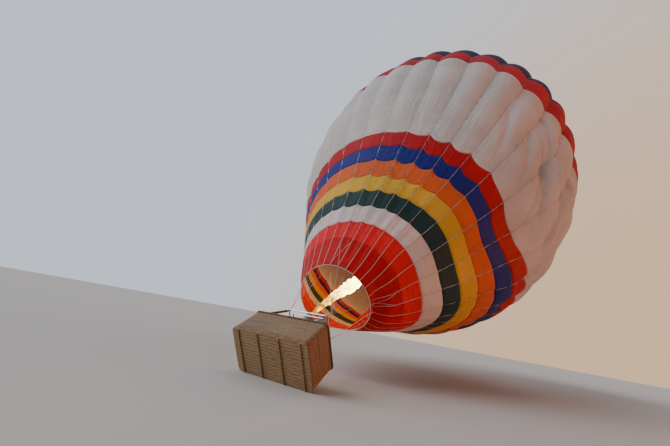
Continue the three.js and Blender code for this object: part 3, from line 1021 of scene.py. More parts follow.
@dataclass
class Envelope:
    """The bag of thirty gores: a cone, then two half ellipses, swept along a bent centreline.

    The centreline is an arc that climbs from mouth_climb to crown_climb up to the widest circle,
    and straight after it. A turn is measured from +Y towards the centreline's own upward side, so
    90 degrees is the top and 180 degrees the right-hand side. A Span is where something starts
    and where it is full, in metres along the centreline unless its comment says otherwise.
    """

    widest_radius: float = 10.25
    mouth_radius: float = 1.61
    cone_angle: float = np.radians(31.2)
    lower_ellipse: float = 16.96
    crown_height: float = 8.825
    mouth_climb: float = np.radians(31.5)
    crown_climb: float = np.radians(51.0)
    gores: int = 30
    gore_bulge: float = 0.12
    bulge_rise: Span = (2.6, 9.6)  # of the radius
    bulge_fade: float = 0.35  # share of the widest radius over which it ends above the vent
    slack_depth: float = 0.55
    slack_sharpness: float = 4.0
    slack_rise: Span = (8.5, 4.0)
    wall: float = 0.004
    gap: float = 0.0004  # between a band's cloth and its edge
    vent_opening: float = 2.7
    vent_radius: float = 3.1
    vent_hub: float = 0.02
    vent_rings: int = 24
    vent_depth: float = 0.0115
    steps: int = 16
    row: float = 0.12
    fewest_rows: int = 4
    crown_rings: int = 60
    fold_top: float = 1.5
    tape_width: float = 0.018
    tape_thickness: float = 0.004
    tape_lift: float = 0.002

    # The tapes' swing, in degrees
    swing_rise: Span = (0.0, 2.0)
    swing_fade: Span = (23.5, 19.5)
    crowd: Lobe = Lobe(-6.5, 145.0, 30.0)
    spread: Lobe = Lobe(4.8, 208.0, 20.0)
    fan_out: Lobe = Lobe(2.6, 146.0, 14.0)
    fan_in: Lobe = Lobe(-2.0, 106.0, 10.0)
    fan_rise: Span = (12.0, 17.4)

    # The seams' hanging between the tapes, most round a middle that moves with the way up
    hang: Curve = Curve(
        (0.0, 1.23, 2.17, 3.11, 5.0, 7.1, 8.1, 13.0, 17.4),
        (0.0, 0.0, 0.10, 0.17, 0.24, 0.36, 0.40, 0.20, 0.0),
    )
    hang_move: Span = (3.0, 8.0)
    hang_middle: Span = (85.0, 40.0)  # degrees at first, and how many more at the end
    hang_spread: Span = (30.0, 8.0)  # the same
    hang_least: float = 0.10

    # The pull towards the crown on the lower right, and the lobe that hangs just above it
    pull: Curve = Curve(PULL_PLACES, (0.0, 0.55, 0.60, 1.0, 1.18, 1.40, 1.75, 2.3, 2.9, 2.0, 0.0))
    pull_rise: Span = (174.0, 230.0)  # of the turn, in degrees
    pull_fade: Span = (310.0, 245.0)  # the same
    lobe: Curve = Curve(
        PULL_PLACES, (0.0, 0.0, 0.04, 0.05, 0.12, 0.20, 0.42, 0.60, 0.65, 0.40, 0.0)
    )
    lobe_side: Span = (167.0, 14.0)  # its middle and its spread, in degrees
    seam_shift: Curve = Curve(SEAM_PLACES, (0.0, 0.04, -0.60, 0.0))
    seam_lift: Curve = Curve(SEAM_PLACES, (0.0, 0.85, 0.30, 0.0))
    seam_side: Span = (158.0, 17.0)  # middle and spread of the lift, in degrees

    # The cloth's relief
    pucker_height: float = 0.016
    pucker_length: float = 0.86
    pucker_reach: float = 0.28
    ripple_height: float = 0.022
    relief_rise: Span = (1.9, 4.5)  # of the radius
    crumple: Lobe = Lobe(-0.050, 205.0, 48.0)
    crumple_rise: Span = (5.0, 8.0)
    valley_depth: float = 0.62
    valley_place: Span = (0.45, 0.30)  # middle and spread along the centreline
    valley_rise: Span = (0.0, 0.22)
    valley_side: Lobe = Lobe(1.0, 207.0, 40.0)
    flat: Lobe = Lobe(-0.46, 157.0, 22.0)
    flat_place: Span = (17.0, 2.5)  # middle and spread along the centreline
    full: Lobe = Lobe(0.13, 350.0, 35.0)
    full_rise: Span = (0.3, 1.3)
    full_fade: Span = (7.0, 3.5)
    folds: tuple[Fold, ...] = ()

    bands: tuple[Band, ...] = (
        Band("dark_red", 1.230, Slot.DARK_RED, Cloth.DARK_RED),
        Band("red", 2.173, Slot.RED, Cloth.RED_PAINTED_LIT),
        Band("white_low", 3.106, Slot.WHITE, Cloth.WHITE_PAINTED_WARM_LIT),
        Band("green", 4.049, Slot.GREEN, Cloth.DARK_GREEN),
        Band("yellow", 5.012, Slot.YELLOW, Cloth.YELLOW),
        Band("orange", 6.068, Slot.ORANGE, Cloth.ORANGE),
        Band("blue", 7.073, Slot.BLUE, Cloth.DARK_BLUE),
        Band("red_middle", 8.077, Slot.RED, Cloth.RED),
        Band("white", 17.456, Slot.WHITE, Cloth.WHITE, walls=4),
        Band("red_upper", 19.475, Slot.RED, Cloth.RED),
    )

    def __post_init__(self) -> None:
        """Works out where the cone ends and where the widest circle lies along the centreline."""
        lean = np.arctan(self.lower_ellipse * np.tan(self.cone_angle) / self.widest_radius)
        cone_top = self.widest_radius * np.cos(lean)
        self.cone_length = (cone_top - self.mouth_radius) / np.tan(self.cone_angle)
        self.lower_length = self.cone_length + self.lower_ellipse * np.sin(lean)
        self.bend_radius = self.lower_length / (self.crown_climb - self.mouth_climb)

    def crown_at(self, radius: Array) -> Array:
        """Returns how far along the centreline the crown has narrowed to radius."""
        share = np.asarray(radius, float) / self.widest_radius
        return self.lower_length + self.crown_height * np.sqrt(1.0 - share**2)

    def centreline(self, along: Array) -> tuple[Array, Array, Array]:
        """Works out the bent centreline.

        Args:
            along: Distance along the centreline.

        Returns:
            Its centre, heading and upward side there.
        """
        bent = np.minimum(along, self.lower_length)
        climb = self.mouth_climb + bent / self.bend_radius
        zero = np.zeros_like(climb)
        heading = np.stack([np.cos(climb), zero, np.sin(climb)], -1)
        upward = np.stack([-np.sin(climb), zero, np.cos(climb)], -1)
        across = np.sin(climb) - np.sin(self.crown_climb)
        height = np.cos(self.crown_climb) - np.cos(climb)
        centre = self.bend_radius * np.stack([across, zero, height], -1)
        return centre + heading * (along - bent)[..., None], heading, upward

    def profile(self, along: Array) -> tuple[Array, Array, Array]:
        """Works out the round profile.

        The cone's radius grows by the tangent of its half angle. Above it the radius is
        widest_radius times the cosine whose sine is the share of the half ellipse's length.

        Args:
            along: Distance along the centreline.

        Returns:
            The radius, and the outward normal's parts along and across.
        """
        half = np.where(along < self.lower_length, self.lower_ellipse, self.crown_height)
        sine = np.clip((along - self.lower_length) / half, -1.0, 1.0)
        cosine = np.sqrt(1.0 - sine**2)
        size = np.hypot(self.widest_radius * sine, half * cosine)
        cone = along < self.cone_length
        radius = np.where(
            cone,
            self.mouth_radius + along * np.tan(self.cone_angle),
            self.widest_radius * cosine,
        )
        normal_along = np.where(cone, -np.sin(self.cone_angle), self.widest_radius * sine / size)
        normal_out = np.where(cone, np.cos(self.cone_angle), half * cosine / size)
        return radius, normal_along, normal_out

    def gore_share(self, turn: Array) -> Array:
        """Returns the place across the gore, 0 and 1 at its two tapes."""
        return ((turn - np.pi / 2) * self.gores / TAU) % 1.0

    def seam_gap(self, turn: Array, radius: Array) -> Array:
        """Returns the distance round the cloth to the nearer tape, in metres."""
        share = self.gore_share(turn)
        return np.minimum(share, 1.0 - share) * TAU * radius / self.gores

    def bulge(self, along: Array, turn: Array, radius: Array) -> Array:
        """Works out how far a gore stands out, by a parabola between its two tapes.

        It fades out towards the mouth and the vent.

        Args:
            along: Distance along the centreline.
            turn: Angle round it, in radians.
            radius: The profile's radius there.

        Returns:
            The factor on the radius.
        """
        low = smooth_step(*self.bulge_rise, radius)
        left = (radius - self.vent_radius) / (self.bulge_fade * self.widest_radius)
        high = np.where(along > self.lower_length, left, 1.0)
        share = np.clip(np.minimum(low, high), 0.0, 1.0)
        curve = parabola(self.gore_share(turn))
        return 1.0 + self.gore_bulge * TAU / self.gores * share * curve

    def slack(self, along: Array, turn: Array) -> Array:
        """Returns how far the slack underside of the mouth lies inside the round profile."""
        share = ((1.0 - np.sin(turn)) / 2.0) ** self.slack_sharpness
        return self.slack_depth * share * smooth_step(*self.slack_rise, along)

    def swung(self, along: Array, turn: Array) -> Array:
        """Swings the tapes sideways, as slack cloth lets them.

        They crowd together on the upper right and spread apart on the lower right, by two bells
        that fade out at the mouth and at the crown, and fan out again below the crown.

        Args:
            along: Distance along the centreline.
            turn: Angle round it, in radians.

        Returns:
            Where each turn really lies, in radians.
        """
        held = smooth_step(*self.swing_rise, along) * smooth_step(*self.swing_fade, along)
        fan = (self.fan_out.at(turn) + self.fan_in.at(turn)) * smooth_step(*self.fan_rise, along)
        return turn + np.radians(self.crowd.at(turn) + self.spread.at(turn) + fan) * held

    def droop(self, along: Array, turn: Array) -> Array:
        """Works out how the cloth hangs from the bands' even rings.

        The depth between two tapes is looked up along the centreline and falls off as a parabola
        towards both of them; it is largest on the top, and further up on the upper right. The
        whole cloth is pulled towards the crown on the lower right-hand side, and a little towards
        the mouth just above it. The red band by the crown is wider than its even rings, and lies
        higher on the upper right.

        Args:
            along: Distance along the centreline.
            turn: Angle round it, in radians.

        Returns:
            Its distance towards the mouth in metres.
        """
        place = self.swung(along, turn) % TAU
        degrees = np.degrees(place)
        moved = smooth_step(*self.hang_move, along)
        middle = np.radians(self.hang_middle[0] + self.hang_middle[1] * moved)
        spread = np.radians(self.hang_spread[0] + self.hang_spread[1] * moved)
        side = bell(angle_gap(place, middle), 0.0, spread)
        side = self.hang_least + (1.0 - self.hang_least) * side
        hanging = self.hang.at(along) * side * parabola(self.gore_share(turn))
        ramp = smooth_step(*self.pull_rise, degrees) * smooth_step(*self.pull_fade, degrees)
        lift = self.seam_lift.at(along) * bell(degrees, *self.seam_side)
        shift = self.seam_shift.at(along) - lift - self.pull.at(along) * ramp
        return hanging + shift + self.lobe.at(along) * bell(degrees, *self.lobe_side)

    def puckers(self, along: Array, turn: Array, radius: Array) -> Array:
        """Works out waves along the tapes, which fade away from them, and ripples.

        Args:
            along: Distance along the centreline.
            turn: Angle round it, in radians.
            radius: The profile's radius there.

        Returns:
            Their height in metres.
        """
        gore = np.floor((turn - np.pi / 2) * self.gores / TAU)
        start, wander = 2.4 * gore, 1.3 * np.sin(0.9 * along + gore)
        wave = np.sin(TAU * along / self.pucker_length + start + wander)
        near = np.exp(-self.seam_gap(turn, radius) / self.pucker_reach)
        grown = smooth_step(*self.relief_rise, radius)
        ripple = self.ripple_height * soft_noise(turn, along, 5) * grown
        return self.pucker_height * wave * near * grown + ripple

    def relief(self, along: Array, turn: Array, radius: Array) -> Array:
        """Works out puckers, soft folds and the fold by the mouth.

        The slack side is crumpled inward. The mouth's lower right edge is turned out, so the
        cloth behind it makes a round valley that shows inside the hem. The left side is fuller
        above the mouth, and the upper right side is a little flattened.

        Args:
            along: Distance along the centreline.
            turn: Angle round it, in radians.
            radius: The profile's radius there.

        Returns:
            Their height in metres.
        """
        total = self.puckers(along, turn, radius)
        swell = np.abs(soft_noise(2.0 * turn, 1.15 * along, 11, 9))
        total = total + self.crumple.at(turn) * smooth_step(*self.crumple_rise, along) * swell
        valley = bell(along, *self.valley_place) * smooth_step(*self.valley_rise, along)
        total = total - self.valley_depth * valley * self.valley_side.at(turn)
        total = total + self.flat.at(turn) * bell(along, *self.flat_place)
        ends = smooth_step(*self.full_rise, along), smooth_step(*self.full_fade, along)
        total = total + self.full.at(turn) * ends[0] * ends[1]
        for fold in self.folds:
            total = total + fold.relief(along, turn, radius)
        return total

    def skin(self, along: Array, turn: Array, depth: Array | float = 0.0) -> Array:
        """A point of the cloth.

        Args:
            along: Distance along the centreline from the mouth.
            turn: Angle round it.
            depth: Distance inward from the outer face.

        Returns:
            centre - depth normal_along heading + r (cos place Y + sin place upward), where place is
            the swung turn and r is the profile's radius less depth normal_out, times the bulge,
            less the slack, plus relief.
        """
        along, turn = np.broadcast_arrays(np.asarray(along, float), np.asarray(turn, float))
        centre, heading, upward = self.centreline(along)
        radius, normal_along, normal_out = self.profile(along)
        out = (radius - depth * normal_out) * self.bulge(along, turn, radius)
        out = out - self.slack(along, turn) + self.relief(along, turn, radius)
        side, place = np.array([0.0, 1.0, 0.0]), self.swung(along, turn)
        return (
            centre
            - (depth * normal_along)[..., None] * heading
            + (out * np.cos(place))[..., None] * side
            + (out * np.sin(place))[..., None] * upward
        )

    def ring_grid(self, along: Array) -> tuple[Array, Array]:
        """Lays rings all the way round.

        Args:
            along: Their places along the centreline.

        Returns:
            The grids of along and turn.
        """
        columns = self.gores * self.steps
        turn = np.pi / 2 + TAU * np.arange(columns) / columns
        return tuple(np.meshgrid(along, turn, indexing="ij"))

    def chart(self, rows: Array) -> Array:
        """Charts the cloth in metres, with a column for each gore and rows along it.

        Args:
            rows: The rings' places.

        Returns:
            UV values of the rings' points.
        """
        radius = self.profile(rows)[0][:, None]
        gore, step = np.divmod(np.arange(self.gores * self.steps + 1), self.steps)
        across = (step / self.steps - 0.5) * TAU * radius / self.gores
        column = gore * GORE_CHART + GORE_CHART / 2 + across
        return np.stack([column, np.broadcast_to(rows[:, None], across.shape)], -1)

    def wall_piece(self, name: str, rows: Array, material: Material) -> Object:
        """Makes a closed band of cloth.

        Its rings run up the outer face and back down the inner one, which needs half of the
        rows above the mouth's fold, and the last ring joins the first.

        Args:
            name: The piece's name.
            rows: Distances along the centreline of its rings.
            material: Its cloth.

        Returns:
            The piece.
        """
        skipped = 1 if rows[-1] < self.fold_top else 2
        back = np.unique(np.concatenate([rows[::skipped], rows[-1:]]))[::-1]
        along = np.concatenate([rows, back])
        depth = np.concatenate([np.zeros(len(rows)), np.full(len(back), self.wall)])
        along_grid, turn_grid = self.ring_grid(along)
        along_grid = along_grid - self.droop(along_grid, turn_grid)
        points = self.skin(along_grid, turn_grid, depth[:, None])
        chart = self.chart(np.concatenate([along, along[:1]]))
        seam = self.seam_gap(turn_grid, self.profile(along_grid)[0])
        patch = GorePatch(points, True, True, chart, False, self.steps)
        return mesh_piece(name, [patch], material, {"seam_distance": seam}, weld=0.0)

    def band_rows(self, start: float, top: float) -> Array:
        """Places a band's rings, closer together by the mouth's fold.

        Args:
            start: Its lower edge.
            top: Its upper edge.

        Returns:
            Their places.
        """
        row = self.row / 4 if top < self.fold_top else self.row
        count = max(self.fewest_rows, round((top - start) / row))
        return np.linspace(start + self.gap, top - self.gap, count)

    def crown_rows(self, start: float) -> Array:
        """Places the crown's rings, even in the angle of its ellipse.

        Args:
            start: Its lower edge.

        Returns:
            Their places.
        """
        first = np.arcsin((start - self.lower_length) / self.crown_height)
        last = np.arccos(self.vent_opening / self.widest_radius)
        angle = np.linspace(first, last, self.crown_rings)
        rows = self.lower_length + self.crown_height * np.sin(angle)
        rows[0] += self.gap
        return rows

    def build(self) -> None:
        """Makes the bands and the crown, which stand for the CAD's, the vent and the tapes."""
        cloth = {colour: colour.value.build() for colour in Cloth}
        start = 0.0
        for band in self.bands:
            rows = self.band_rows(start, band.top)
            piece = self.wall_piece(f"cloth_{band.name}", rows, cloth[band.cloth])
            settle(piece, Body.BALLOON, band.slot, *band.nodes())
            start = band.top
        piece = self.wall_piece("cloth_crown", self.crown_rows(start), cloth[Cloth.NAVY])
        settle(piece, Body.BALLOON, Slot.NAVY, "envelope_crown")
        self.build_vent(cloth[Cloth.RED])
        self.build_tapes()

    def build_vent(self, material: Material) -> None:
        """Makes the parachute vent, a shallow dome under the crown's edge with a rolled rim.

        Args:
            material: Its cloth.
        """
        rows = self.crown_at(np.linspace(self.vent_radius, self.vent_hub, self.vent_rings))
        along = np.concatenate([rows[::-1], rows])
        inner = np.full(len(rows), self.vent_depth + self.wall)
        depth = np.concatenate([inner, np.full(len(rows), self.vent_depth)])
        along_grid, turn_grid = self.ring_grid(along)
        points = self.skin(along_grid, turn_grid, depth[:, None])
        seam = self.seam_gap(turn_grid, self.profile(along_grid)[0])
        seam = np.concatenate([seam[:1], seam, seam[-1:]])
        closed = rings_closed(points, self.chart(along))[0]
        patch = GorePatch(closed.points, False, True, closed.chart, False, self.steps)
        piece = mesh_piece(
            "parachute_vent_cloth", [patch], material, {"seam_distance": seam}, weld=0.0
        )
        settle(piece, Body.VENT, Slot.RED, "parachute_vent")

    def build_tapes(self) -> None:
        """Makes the load tapes, a flat strip folded into the valley of each seam."""
        starts = [0.0] + [band.top for band in self.bands]
        rows = [self.band_rows(low, high) for low, high in zip(starts, starts[1:])]
        rows = np.concatenate(rows + [self.crown_rows(starts[-1])])
        across = np.array([-1.0, 0.0, 1.0, 1.0, 0.0, -1.0]) * self.tape_width / 2
        height = np.array([1.0, 1.0, 1.0, 0.0, 0.0, 0.0]) * self.tape_thickness + self.tape_lift
        radius = self.profile(rows)[0][:, None]
        patches = []
        for tape in range(self.gores):
            turn = np.pi / 2 + TAU * tape / self.gores + across / radius
            along = np.broadcast_to(rows[:, None], turn.shape)
            points = self.skin(along, turn, -np.broadcast_to(height, turn.shape))
            patches += rings_closed(points)
        settle(mesh_piece("load_tapes", patches, TAPE_WHITE.build()), Body.BALLOON, Slot.LOAD_TAPE)


ENVELOPE = Envelope(
    folds=(
        Fold((9.6, 176.0), (13.2, 152.0), 0.26, 0.46),
        Fold((10.2, 188.0), (14.6, 166.0), 0.30, 0.50),
        Fold((9.2, 198.0), (13.6, 184.0), 0.24, 0.36),
        Fold((10.5, 206.0), (15.4, 190.0), 0.30, 0.46),
        Fold((12.0, 163.0), (15.8, 148.0), 0.22, 0.34),
        Fold((8.8, 214.0), (12.6, 205.0), 0.26, 0.34),
        Fold((13.6, 176.0), (17.0, 168.0), 0.20, 0.34),
        Fold((8.9, 160.0), (12.8, 149.0), 0.18, 0.24),
        Fold((8.7, 171.0), (12.4, 160.0), 0.18, 0.26),
        Fold((12.2, 197.0), (16.2, 180.0), 0.22, 0.34),
        Fold((9.0, 146.0), (13.0, 139.0), 0.18, 0.20),
    )
)


# ---- tubes and rigging
def path_frames(path: Array, closed: bool = False) -> tuple[Array, Array]:
    """Two unit sides at each point of a path, without twist jumps.

    Args:
        path: Points of shape (points, 3).
        closed: True if the path closes on itself.

    Returns:
        The first side, square to the path and as near as it gets to the path's mean normal, and
        the second side, square to both.
    """
    if closed:
        ahead = np.roll(path, -1, 0) - np.roll(path, 1, 0)
    else:
        ahead = np.gradient(path, axis=0)
    ahead = unit(ahead)
    spread = np.abs(ahead).mean(0)
    guide = np.eye(3)[np.argmin(spread)]
    first = unit(guide - (ahead @ guide)[:, None] * ahead)
    return first, np.cross(ahead, first)


def tube(path: Array, radius: float | Array, sides: int = 8, closed: bool = False) -> list[Patch]:
    """A round tube along a path: path + radius (cos a first side + sin a second side).

    Args:
        path: Points of shape (points, 3).
        radius: One radius in metres, or one for each point.
        sides: Corners of its section.
        closed: True if the path closes on itself.

    Returns:
        Its patches, with flat ends if it is open.
    """
    first, second = path_frames(path, closed)
    turn = (TAU * np.arange(sides) / sides)[None, :, None]
    size = np.broadcast_to(np.asarray(radius, float), (len(path),))[:, None, None]
    ring = np.cos(turn) * first[:, None] + np.sin(turn) * second[:, None]
    points = path[:, None] + size * ring
    if closed:
        return [Patch(points, True, True)]
    return rings_closed(points)


@dataclass
class Rigging:
    """The wires from the burner frame's four corners to the mouth, and the cords laid on it.

    Sizes are metres in the rig's frame. The eight stays of the CAD stay as they are; the lighter
    wires to the other tapes are added here.
    """

    frame_half: Span = (0.450, 0.800)
    frame_corner: float = 0.090
    frame_height: float = 2.110
    hole_height: float = 0.066  # of a lug's hole above the frame's tube
    bow: float = 0.135  # from that hole to the wires' start, past the karabiner
    middle_tape: float = 30.0  # degrees from the side, between a corner's two stays
    light_tapes: tuple[float, ...] = (18.0, 30.0, 42.0, 66.0, 78.0, 90.0)
    hem: Span = (-0.012, 0.005)  # place along the centreline and depth of a wire's end
    wire: float = 0.0032
    sleeve: float = 0.0075
    sleeve_length: float = 0.055
    sleeve_gap: float = 0.02  # from the wire's end
    cords: tuple[Span, ...] = ((90.0, 102.0), (102.0, 90.0), (174.0, 186.0), (186.0, 174.0))
    cord: float = 0.006
    cord_run: Span = (0.01, 1.02)  # start along the centreline, and how far from there
    cord_lift: Span = (0.045, 0.01)  # above the cloth, and how much more half way

    def corner(self, across: float, side: float) -> Array:
        """Finds the middle of a lug's hole.

        Args:
            across: -1 on the upper side, 1 on the lower.
            side: 1 on the left, -1 on the right.

        Returns:
            Its place in the rig's frame.
        """
        inset = self.frame_corner * (1.0 - np.sqrt(0.5))
        down, left = across * (self.frame_half[0] - inset), side * (self.frame_half[1] - inset)
        return np.array([down, left, self.frame_height + self.hole_height])

    def mouth_point(self, across: float, side: float, degrees: float) -> Array:
        """Finds the hem's place at a tape.

        Args:
            across: -1 on the upper side, 1 on the lower.
            side: 1 on the left, -1 on the right.
            degrees: Turn from that side to the tape.

        Returns:
            Its place in the scene's frame.
        """
        away = np.radians(degrees)
        turn = np.arctan2(-across * np.sin(away), side * np.cos(away))
        return ENVELOPE.skin(np.array(self.hem[0]), np.array(turn), self.hem[1])

    def build(self, steel: Material) -> None:
        """Makes the wires with their pressed sleeves, and the cords between the tapes.

        Args:
            steel: The wires' finish.
        """
        wires, sleeves = [], []
        foot_gap, head_gap = self.sleeve_gap, self.sleeve_length + self.sleeve_gap
        for across in (-1.0, 1.0):
            for side in (-1.0, 1.0):
                hole = RIG.place(self.corner(across, side))
                middle = self.mouth_point(across, side, self.middle_tape)
                start = hole + unit(middle - hole) * self.bow
                for degrees in self.light_tapes:
                    end = self.mouth_point(across, side, degrees)
                    line = start + np.linspace(0.0, 1.0, 12)[:, None] * (end - start)
                    wires += tube(line, self.wire, 6)
                    heading = unit(end - start)
                    for foot in (start + foot_gap * heading, end - head_gap * heading):
                        reach = np.linspace(0.0, self.sleeve_length, 3)[:, None]
                        sleeves += tube(foot + reach * heading, self.sleeve, 8)
        settle(mesh_piece("flying_wires", wires, steel), Body.BALLOON, Slot.STEEL)
        settle(mesh_piece("wire_sleeves", sleeves, SLEEVE_COPPER.build()), Body.BALLOON, Slot.STEEL)
        self.build_cords()

    def build_cords(self) -> None:
        """Makes the pairs of cords that cross between two tapes by the mouth."""
        patches = []
        share = np.linspace(0.0, 1.0, 24)
        lift = self.cord_lift[0] + self.cord_lift[1] * np.sin(np.pi * share)
        for low, high in self.cords:
            turn = np.radians(low + (high - low) * share)
            line = ENVELOPE.skin(self.cord_run[0] + self.cord_run[1] * share, turn, -lift)
            patches += tube(line, self.cord, 6)
        settle(mesh_piece("mouth_cords", patches, CORD_PALE.build()), Body.BALLOON, Slot.LOAD_TAPE)


# ---- shapes in the rig's frame
Profile = tuple[tuple[float, float], ...]


def rounded_outline(half: Span, corner: float, count: int) -> tuple[Array, Array]:
    """A rounded rectangle, counter-clockwise, in even steps.

    Args:
        half: Half sizes in metres.
        corner: Radius of its corners.
        count: Number of points.

    Returns:
        Points and outward normals, both of shape (count, 2).
    """
    lean = np.linspace(0.0, np.pi / 2, 13)
    arc = np.stack([np.cos(lean), np.sin(lean)], -1)
    normals, points = [], []
    for quarter, (x, y) in enumerate(((1, 1), (-1, 1), (-1, -1), (1, -1))):
        turned = arc @ np.linalg.matrix_power(np.array([[0, 1], [-1, 0]]), quarter)
        centre = np.array([x * (half[0] - corner), y * (half[1] - corner)])
        normals.append(turned)
        points.append(centre + corner * turned)
    points = np.concatenate(points + [points[0][:1]])
    normals = np.concatenate(normals + [normals[0][:1]])
    length = np.concatenate([[0.0], np.cumsum(np.linalg.norm(np.diff(points, axis=0), axis=1))])
    steps = length[-1] * np.arange(count) / count
    place = np.stack([np.interp(steps, length, points[:, k]) for k in (0, 1)], -1)
    out = unit(np.stack([np.interp(steps, length, normals[:, k]) for k in (0, 1)], -1))
    return place, out


def lathe(profile: Profile, centre: Place, columns: int = 48) -> Patch:
    """A ring turned about the rig's axis from a closed profile of (radius, height).

    Args:
        profile: Its corners, from the outer foot upward and back down inside.
        centre: The place of its axis and of height zero, in the rig's frame.
        columns: Steps round it.

    Returns:
        The patch, in the scene's frame.
    """
    turn = TAU * np.arange(columns) / columns
    radius, height = np.array(profile).T[..., None]
    height = np.broadcast_to(height, (len(profile), columns))
    points = np.stack([radius * np.cos(turn), radius * np.sin(turn), height], -1)
    return Patch(RIG.place(points + np.array(centre)), True, True)


def block(centre: Place, size: Place, bevel: float) -> list[Patch]:
    """A box with bevelled edges, its rings drawn in by a share of the bevel at both ends.

    Args:
        centre: Its middle, in the rig's frame.
        size: Its three sizes in metres.
        bevel: Radius of its upright edges and height of the bevels.

    Returns:
        Its patches, in the scene's frame.
    """
    outline, out = rounded_outline((size[0] / 2, size[1] / 2), bevel, 32)
    levels = np.array([-0.5, -0.5, 0.5, 0.5]) * size[2] + np.array([0.0, bevel, -bevel, 0.0])
    inset = np.array([bevel, 0.0, 0.0, bevel]) * 0.6
    rings = outline - inset[:, None, None] * out + np.array(centre[:2])
    return rings_closed(RIG.lifted(rings, levels[:, None, None] + centre[2]))


def circle(centre: Place, radius: float, count: int = 48) -> Array:
    """A circle square to the rig's axis.

    Args:
        centre: Its middle, in the rig's frame.
        radius: Its radius in metres.
        count: How many points it has.

    Returns:
        The points, in the scene's frame.
    """
    turn = TAU * np.arange(count) / count
    ring = np.stack([radius * np.cos(turn), radius * np.sin(turn), 0 * turn], -1)
    return RIG.place(ring + np.array(centre))


def post(x: float, y: float, base: float, shape: Profile, sides: int) -> list[Patch]:
    """An upright rod.

    Args:
        x: Its place down from the rig's axis.
        y: Its place to the left of it.
        base: Height of its foot above the basket's underside.
        shape: Radius and height above the foot of each of its rings.
        sides: Corners of its section.

    Returns:
        Its patches, in the scene's frame.
    """
    path = np.array([(x, y, base + height) for _, height in shape])
    return tube(RIG.place(path), np.array([radius for radius, _ in shape]), sides)


